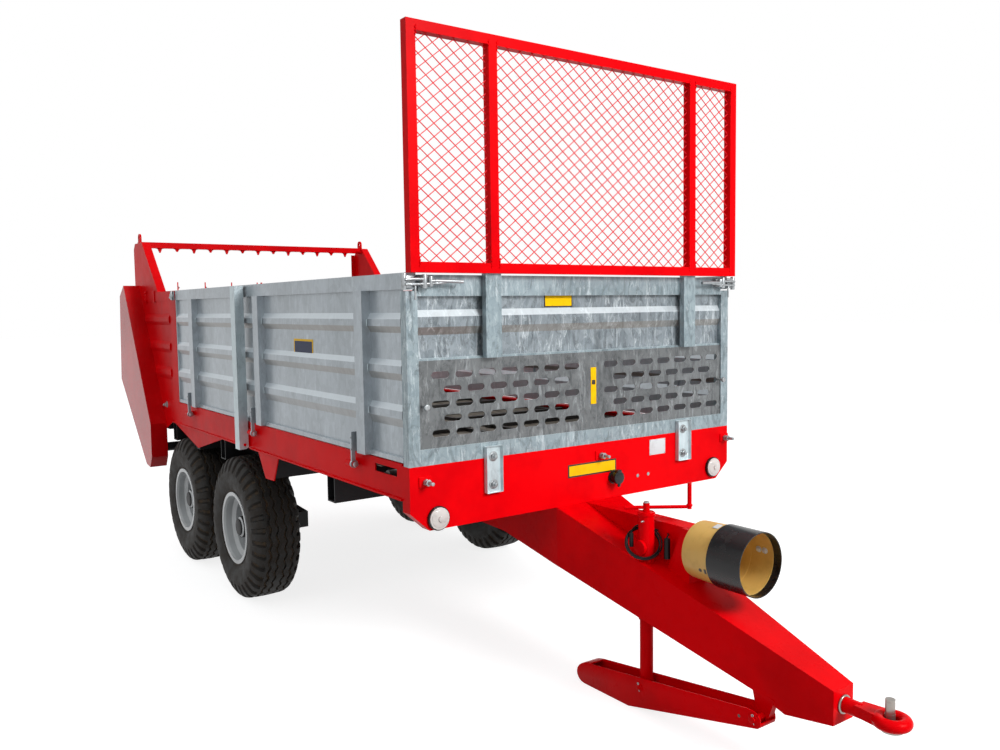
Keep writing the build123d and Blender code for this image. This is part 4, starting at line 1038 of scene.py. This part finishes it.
@dataclass
class ParkingFoot:
    """The folded channel that the machine stands on, with its two pins."""

    middle_x: float = -0.094
    half: float = 0.045
    wall: float = 0.006
    hinge: Span = (-1.050, 0.190)
    leg_pin: Span = (-0.460, 0.106)
    lower_edge: tuple[Span, ...] = (
        (-1.082, 0.182), (-1.078, 0.168), (-1.068, 0.160), (-0.394, 0.000), (-0.110, 0.000), (-0.090, 0.003),
        (-0.072, 0.013), (-0.061, 0.028), (-0.058, 0.044), (-0.062, 0.060), (-0.074, 0.076), (-0.092, 0.089),
        (-0.112, 0.098), (-0.150, 0.106))
    upper_edge: tuple[Span, ...] = ((-1.020, 0.222), (-1.046, 0.222), (-1.070, 0.214), (-1.080, 0.198))

    def build(self) -> None:
        """Build the channel, its pins and their split pins."""
        kit = Kit("red_bar").add(self.channel(), angle=40)
        for (y, z), radius in ((self.hinge, 0.012), (self.leg_pin, 0.010)):
            kit.rod(radius, (self.middle_x, y, z), 2 * self.half + 0.016, Axis.X, 0.0015)
            for side in (-1, 1):
                kit.rod(radius + 0.009, (self.middle_x + side * (self.half + 0.0015), y, z), 0.003, Axis.X, 0.0006,
                        28)
        foot = join(kit.parts, "parking_foot_channel")
        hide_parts("parking_foot")
        ride(foot, "parking_foot")
        places = [facing((self.middle_x + side * 0.050, y, z + 0.010), (0, 0, 1), 90)
                  for side in (-1, 1) for y, z in (self.hinge, self.leg_pin)]
        ride(scatter(self.split_pin(0.012), places, "foot_split_pins"), "parking_foot")
        # A thin dark disc on the channel's side is painted shade standing for the opening in it.
        hole_shade = Kit("dark_steel").rod(0.006, (self.middle_x - self.half - 0.0002, -0.985, 0.180), 0.0006, Axis.X, 0,
                                     20)
        hole_shade.mount("foot_hole_painted_shade", "red_paint", "parking_foot")

    def split_pin(self, size: float) -> Piece:
        """Model a split pin about the origin: a loop and two legs."""
        points = ((0, 0, 0), (0.5, 0, 0.5), (0, 0, 1), (-0.5, 0, 0.5), (0, 0, 0), (0.12, 0, -1.2), (0.6, 0, -2.2))
        kit = Kit.for_master("plated")
        return kit.wire([(size * x, size * y, size * z) for x, y, z in points], size * 0.12).parts[0]

    def channel(self) -> Piece:
        """Extrude the outline, open its top and rear end, and give the rest its wall."""
        outline = self.lower_edge + self.upper_edge
        closed = len(self.lower_edge) - 1
        ahead = outline[1:] + outline[:1]
        gaps = [((a[0] + b[0]) / 2, (a[1] + b[1]) / 2) for a, b in zip(outline[closed:], ahead[closed:])]
        piece = start(bpy.ops.mesh.primitive_circle_add, vertices=len(outline), radius=0.1, fill_type="NGON")

        def open_side(face: bmesh.types.BMFace) -> bool:
            """Tell whether a face lies in a gap of the outline."""
            x, y, z = face.calc_center_median()
            return abs(x - self.middle_x) < 0.001 and any(
                math.hypot(y - at_wall(gap_y), z - gap_z) < 0.0005 for gap_y, gap_z in gaps)

        def fold(mesh: bmesh.types.BMesh) -> None:
            """Shape the disc, pull it across and open the upper edge."""
            mesh.verts.ensure_lookup_table()
            for vert, (y, z) in zip(mesh.verts, outline):
                vert.co = (self.middle_x - self.half, at_wall(y), z)
            bpy.ops.mesh.select_all(action="SELECT")
            bpy.ops.mesh.extrude_region_move(TRANSFORM_OT_translate={"value": (2 * self.half, 0, 0)})
            bpy.ops.mesh.select_all(action="SELECT")
            bpy.ops.mesh.normals_make_consistent(inside=False)
            pick_faces(piece, mesh, open_side)
            bpy.ops.mesh.delete(type="FACE")
        edit(piece, fold)
        for kind, values in (("SOLIDIFY", {"thickness": self.wall, "offset": -1.0, "use_even_offset": True}),
                             ("BEVEL", {"width": 0.0018, "segments": 2, "limit_method": "ANGLE",
                                        "angle_limit": math.radians(50)})):
            modifier = piece.modifiers.new(kind.lower(), kind)
            for key, value in values.items():
                setattr(modifier, key, value)
            bpy.ops.object.modifier_apply(modifier=modifier.name)
        return piece


@dataclass
class InputGuard:
    """Screws, sleeve and bare film of the shaft guard, the splines inside it, and dark patches painted as the shade in
    its slots and holes.
    """

    axis_z: float = 0.722
    sleeve_radius: float = 0.1222
    sleeve_wall: float = 0.0026
    sleeve_y: Span = (-0.936, -0.806)

    def build(self) -> None:
        """Build the details."""
        # Thin dark patches and discs on the cone are painted shade standing for its slots and holes.
        for name, y, radius, master in (
                ("guard_slot_painted_shade", -0.795, 0.1212,
                 Kit.for_master("dark_steel").box((-0.010, 0.010), (-0.005, 0.005), (-0.001, 0.0014))),
                ("guard_hole_painted_shade", -0.770, 0.1202,
                 Kit.for_master("dark_steel").rod(0.0075, (0, 0, 0), 0.0028, Axis.Z, 0.0004))):
            places = [self.on_cone(degrees, y, radius) for degrees in (-112, 112)]
            ride(scatter(master.parts[0], places, name), "chassis")
        inner = [facing((x, -0.690, self.axis_z + z), (0, -1, 0), 5)
                 for z in (0.039, -0.052) for x in (-0.0585, 0.0585)]
        Bolt(0.018).mount("guard_inner_bolts", inner, "bare_steel")
        self.build_sleeve()
        film = Kit.for_master("sign_white").box((-0.017, 0.017), (-0.013, 0.013), (0.0, 0.0012), 0)
        film.parts[0].data.transform(self.on_cone(-14, -0.785, 0.1212))
        film.mount("guard_film")
        rib = Kit.for_master("steel").box((-0.004, 0.004), (-0.044, 0.044), (0.0155, 0.0190), 0.0008)
        ribs = [self.on_cone(60 * i, -0.752, 0.0) for i in range(6)]
        ride(scatter(rib.parts[0], ribs, "input_splines"), "input_shaft")

    def on_cone(self, degrees: float, y: float, radius: float) -> Matrix:
        """Return the transform that lays a flat piece on the guard.

        Args:
            degrees: Angle from the top, towards the machine's left.
            y: Distance behind the front wall.
            radius: Distance from the shaft's axis.

        Returns:
            The transform.
        """
        return (Matrix.Translation((0, 0, self.axis_z)) @ turned(degrees, "Y")
                @ Matrix.Translation((0, at_wall(y), radius)))

    def build_sleeve(self) -> None:
        """Build the yellow sleeve that lines the ring almost to its mouth, and the screws in it."""
        inner = self.sleeve_radius - self.sleeve_wall
        y0, y1 = (at_wall(y) for y in self.sleeve_y)
        section = [(0, y, self.axis_z + r) for y, r in
                   ((y0, self.sleeve_radius), (y1, self.sleeve_radius), (y1, inner), (y0, inner))]
        Kit("yellow").add(lathe(section, 72, (0, 0, self.axis_z), (0, 1, 0))).mount("guard_sleeve", "yellow_plastic")
        a = math.radians(80)
        way = Vector((math.sin(a), 0, math.cos(a)))
        screws = [facing(Vector((0, y, self.axis_z)) + way * inner, -way, 10) for y in (-0.868, -0.897)]
        Bolt(0.017, finish="sign_white").mount("guard_sleeve_screws", screws, "bare_steel")


@dataclass
class LightingLead:
    """The coiled lead that hangs round the jack between its two plugs."""

    centre: Point = (-0.1054, -0.4518, 0.716)
    plug_a: Point = (-0.064, -0.549, 0.7545)
    plug_b: Point = (-0.139, -0.417, 0.7625)
    ring: float = 0.074
    tilt: float = 51.6
    turns: int = 3
    diameter: float = 0.0068
    bundle: float = 0.0066
    first_degrees: float = -67.85
    bundle_degrees: float = 59.6
    step_degrees: float = 20.0
    entry_reach: float = 0.120
    entry_lean: float = 0.0164
    exit_reach: float = 0.0507
    plug_reach: float = 0.010

    def sweep(self, corners: Sequence[Vector], count: int) -> list[Vector]:
        """Return points along a cubic sweep.

        Args:
            corners: Start, its handle, the end's handle and the end.
            count: Number of points, both ends counted.

        Returns:
            The points.
        """
        points = []
        for i in range(count):
            t = i / (count - 1)
            shares = ((1 - t) ** 3, 3 * (1 - t) ** 2 * t, 3 * (1 - t) * t * t, t ** 3)
            points.append(sum((corner * share for corner, share in zip(corners, shares)), Vector()))
        return points

    def coil(self, across: Vector, down: Vector, normal: Vector) -> list[Vector]:
        """Return the points of the turns, each a quarter further round the bundle, so that none meets another.

        Args:
            across: Direction across the slope that the coil hangs on.
            down: Direction down that slope.
            normal: The coil's axis.

        Returns:
            The points.
        """
        centre = in_model(self.centre)
        points = []
        for i in range(round(360 * self.turns / self.step_degrees) + 1):
            wound = math.radians(self.step_degrees) * i
            a = math.radians(self.first_degrees) - wound
            quarter = wound / 4 + math.radians(self.bundle_degrees)
            r = self.ring + self.bundle * math.cos(quarter)
            points.append(centre + (across * math.cos(a) + down * math.sin(a)) * r
                          + normal * (self.bundle * math.sin(quarter)))
        return points

    def length_of(self, points: Sequence[Vector]) -> float:
        """Return the length of the smooth curve that control points give."""
        middles = [(a + b) / 2 for a, b in zip(points, points[1:])]
        length = (middles[0] - points[0]).length + (points[-1] - middles[-1]).length
        for before, point, after in zip(middles, points[1:], middles[1:]):
            length += (2 * (after - before).length + (point - before).length + (after - point).length) / 3
        return length

    def build(self) -> None:
        """Build the lead: a tail from one plug, the coil, and a tail to the other plug."""
        tilt = math.radians(self.tilt)
        across = Vector((0.813, -0.582, 0)).normalized()
        down = Vector((-0.582, -0.813, 0)).normalized() * math.cos(tilt) + Vector((0, 0, -1)) * math.sin(tilt)
        normal = across.cross(down)
        ring = self.coil(across, down, normal)
        plug_a, plug_b = in_model(self.plug_a), in_model(self.plug_b)
        up = Vector((0, 0, self.plug_reach))
        enter = (ring[1] - ring[0]).normalized()
        leave = (ring[-1] - ring[-2]).normalized()
        entry = ring[0] - enter * self.entry_reach + normal * self.entry_lean
        points = [
            *self.sweep((plug_a, plug_a + up, entry, ring[0]), 8)[:-1], *ring,
            *self.sweep((ring[-1], ring[-1] + leave * self.exit_reach, plug_b + up, plug_b), 7)[1:],
        ]
        lead = smooth_curve("lighting_lead", points, self.diameter / 2, 3, 5)
        lead.data.materials.append(PAINTS["cable"])
        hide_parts("light_cable_coil", "light_cable_tails")
        ride(lead, "chassis")
        tuple(points[0])
        round(self.length_of(points), 3)


@dataclass
class Rear:
    """Bolts, clamps and latches of the rear frame."""

    bearings: tuple[Span, ...] = ((4.150, 1.690), (4.030, 1.178))

    def build(self) -> None:
        """Build the fittings of the rear."""
        heads = [facing((sign * 0.960, 3.500, 1.040), (sign, 0, 0), 19) for _, sign in SIDES]
        Bolt(0.030, 0.014).mount("cover_bolts", heads)
        clamps = Kit("red")
        for _, sign in SIDES:
            clamps.side = sign
            for span in ((3.925, 3.975), (3.700, 3.760)):
                clamps.box((0.9605, 0.966), span, (1.776, 1.860), 0.002)
            for y in (3.937, 3.963):
                for z in (1.790, 1.846):
                    clamps.rod(0.008, (0.969, y, z), 0.008, Axis.X, sides=6)
        clamps.mount("rail_clamps", "red_paint")
        for tag, sign in SIDES:
            self.build_latch(tag, sign)
        flanges = [facing((sign * 0.977, y + dy, z + dz), (sign, 0, 0), 31)
                   for _, sign in SIDES for y, z in self.bearings for dy in (-0.05, 0.05) for dz in (-0.05, 0.05)]
        Bolt(0.022, 0.006).mount("bearing_bolts", flanges, "bare_steel")

    def build_latch(self, tag: str, sign: int) -> None:
        """Build the plated latch on the rear post, which ties the side board to it."""
        kit = Kit("plated", sign)
        kit.box((0.9605, 0.966), (3.196, 3.262), (1.786, 1.846), 0.002)
        kit.rod(0.009, (0.975, 3.216, 1.816), 0.062, Axis.Z, 0.002, 20)
        kit.rod(0.016, (0.972, 3.216, 1.816), 0.022, Axis.Z, 0.002, 20)
        kit.wire([(0.978, 3.216, 1.800), (0.980, 3.238, 1.796), (0.978, 3.256, 1.806)], 0.005)
        kit.mount(f"rear_latch_{tag}")


@dataclass
class Beaters:
    """Bolt heads on the blades of both beaters."""

    first_x: float = 0.018
    pitch: float = 0.036
    lead_angle: float = 13.07
    blades: int = 23

    def build(self) -> None:
        """Build the bolt heads, two on each blade."""
        for name, y, z, hand in (("beater_upper", 4.150, 1.690, 1), ("beater_lower", 4.030, 1.178, -1)):
            heads = []
            for sign in (-1, 1):
                for i in range(self.blades):
                    base = (Matrix.Translation((sign * (self.first_x + i * self.pitch), at_wall(y), z))
                            @ turned((90 + 60 * i) * hand, "X") @ turned(self.lead_angle * sign * hand, "Y"))
                    heads += [base @ Matrix.Translation((0.004, r, 0)) @ turned(90, "Y") for r in (0.168, 0.205)]
            Bolt(0.016, 0.004, washer=0.0).mount(f"{name}_bolts", heads, "red_paint", name)


@dataclass
class Studio:
    """Pale floor, soft light and the photograph's camera."""

    place: Point = (-2.704, at_wall(-3.071), 1.713)
    yaw: float = 35.584
    pitch: float = 4.444
    roll: float = -0.8016
    focal_pixels: float = 885.616
    picture_width: int = 1000
    sensor: float = 36.0
    ambient: Span = (0.30, 0.85)
    floor_grey: float = 0.42
    floor_lift: float = 0.82

    def build(self) -> None:
        """Build floor, world, lamps and camera."""
        self.build_floor()
        self.build_world()
        self.build_lamps()
        self.build_camera()

    def seen(self, nodes: Nodes, strength: float) -> Socket:
        """Return a strength for rays of the camera, of gloss and through glass, and 0 for all others."""
        rays = nodes.add("LightPath").outputs
        value = rays["Is Camera Ray"]
        for name in ("Is Glossy Ray", "Is Transmission Ray"):
            value = nodes.math(value, rays[name], "MAXIMUM")
        return nodes.math(value, strength)

    def build_floor(self) -> None:
        """Add the plain floor: pale for light and shadow, and lifted to white where it is seen."""
        material = bpy.data.materials.new("pale_floor")
        material.use_nodes = True
        nodes = Nodes(material.node_tree)
        shader = nodes.tree.nodes["Principled BSDF"]
        grey = self.floor_grey
        nodes.feed(shader, {"Base Color": (grey, grey, grey, 1), "Roughness": 0.9, "Specular IOR Level": 0.0})
        lift = nodes.add("Emission", {"Strength": self.seen(nodes, self.floor_lift)})
        both = nodes.add("AddShader", {0: shader.outputs["BSDF"], 1: lift.outputs["Emission"]})
        nodes.feed(nodes.tree.nodes["Material Output"], {"Surface": both.outputs["Shader"]})
        floor = start(bpy.ops.mesh.primitive_plane_add, size=120)
        floor.name = "floor"
        floor.data.materials.append(material)

    def build_world(self) -> None:
        """Light from all round, strongest from above, and white where the camera, metal or glass sees it."""
        world = bpy.data.worlds.new("studio")
        bpy.context.scene.world = world
        world.use_nodes = True
        nodes = Nodes(world.node_tree)
        nodes.tree.nodes.clear()
        split = nodes.add("SeparateXYZ", {"Vector": nodes.add("TexCoord").outputs["Generated"]})
        low, high = self.ambient
        rise = nodes.add("MapRange", {"To Min": low, "To Max": high, "Value": split.outputs["Z"]})
        light = nodes.add("Background", {"Color": (0.96, 0.98, 1.0, 1), "Strength": rise.outputs["Result"]})
        white = nodes.add("Background", {"Color": (1, 1, 1, 1), "Strength": 1.0})
        mix = nodes.add("MixShader", {0: self.seen(nodes, 1.0), 1: light.outputs["Background"],
                                      2: white.outputs["Background"]})
        nodes.add("OutputWorld", {"Surface": mix.outputs["Shader"]})

    def build_lamps(self) -> None:
        """Add the soft key from ahead and a weak fill."""
        for name, place, target, power, size in (
                ("key", (1.6, -9.0, 5.6), (0, -1.4, 1.0), 760.0, 3.0),
                ("fill", (-9.0, -2.0, 5.5), (0, 0, 1.2), 60.0, 5.0)):
            lamp = bpy.data.lights.new(name, "AREA")
            lamp.energy = power
            lamp.size = size
            lamp.shape = "DISK"
            holder = bpy.data.objects.new(name, lamp)
            bpy.context.scene.collection.objects.link(holder)
            way = Vector(target) - Vector(place)
            holder.matrix_world = Matrix.Translation(place) @ way.to_track_quat("-Z", "Y").to_matrix().to_4x4()

    def build_camera(self) -> None:
        """Add the camera, solved from the photograph's straight edges."""
        yaw, pitch, roll = (math.radians(v) for v in (self.yaw, self.pitch, self.roll))
        look = Vector((math.sin(yaw) * math.cos(pitch), math.cos(yaw) * math.cos(pitch), -math.sin(pitch)))
        level = Vector((math.cos(yaw), -math.sin(yaw), 0))
        upright = level.cross(look)
        right = level * math.cos(roll) + upright * math.sin(roll)
        up = upright * math.cos(roll) - level * math.sin(roll)
        data = bpy.data.cameras.new("camera")
        data.sensor_width = self.sensor
        data.lens = self.focal_pixels * self.sensor / self.picture_width
        data.clip_end = 200
        camera = bpy.data.objects.new("camera", data)
        bpy.context.scene.collection.objects.link(camera)
        camera.matrix_world = Matrix.Translation(self.place) @ Matrix((right, up, -look)).transposed().to_4x4()
        bpy.context.scene.camera = camera


def main() -> None:
    """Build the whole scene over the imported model."""
    logging.basicConfig(level=logging.INFO, format="%(name)s: %(message)s")
    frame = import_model()
    clear()
    bpy.context.scene.view_settings.view_transform = "Standard"
    Studio().build()
    LightingLead().build()
    dress(frame["nodes"])
    for side, sign in SIDES:
        for place, y in (("front", 2.064), ("rear", 3.060)):
            Tyre(place, side, sign, y).build()
            WheelFittings(place, side, sign, y).build()
    for part in (Headstock(), FrontWall(), SideBoards(), Guard(), Drawbar(), ParkingFoot(), InputGuard(), Rear(),
                 Beaters()):
        part.build()
    clear()


if __name__ == "__main__":
    main()
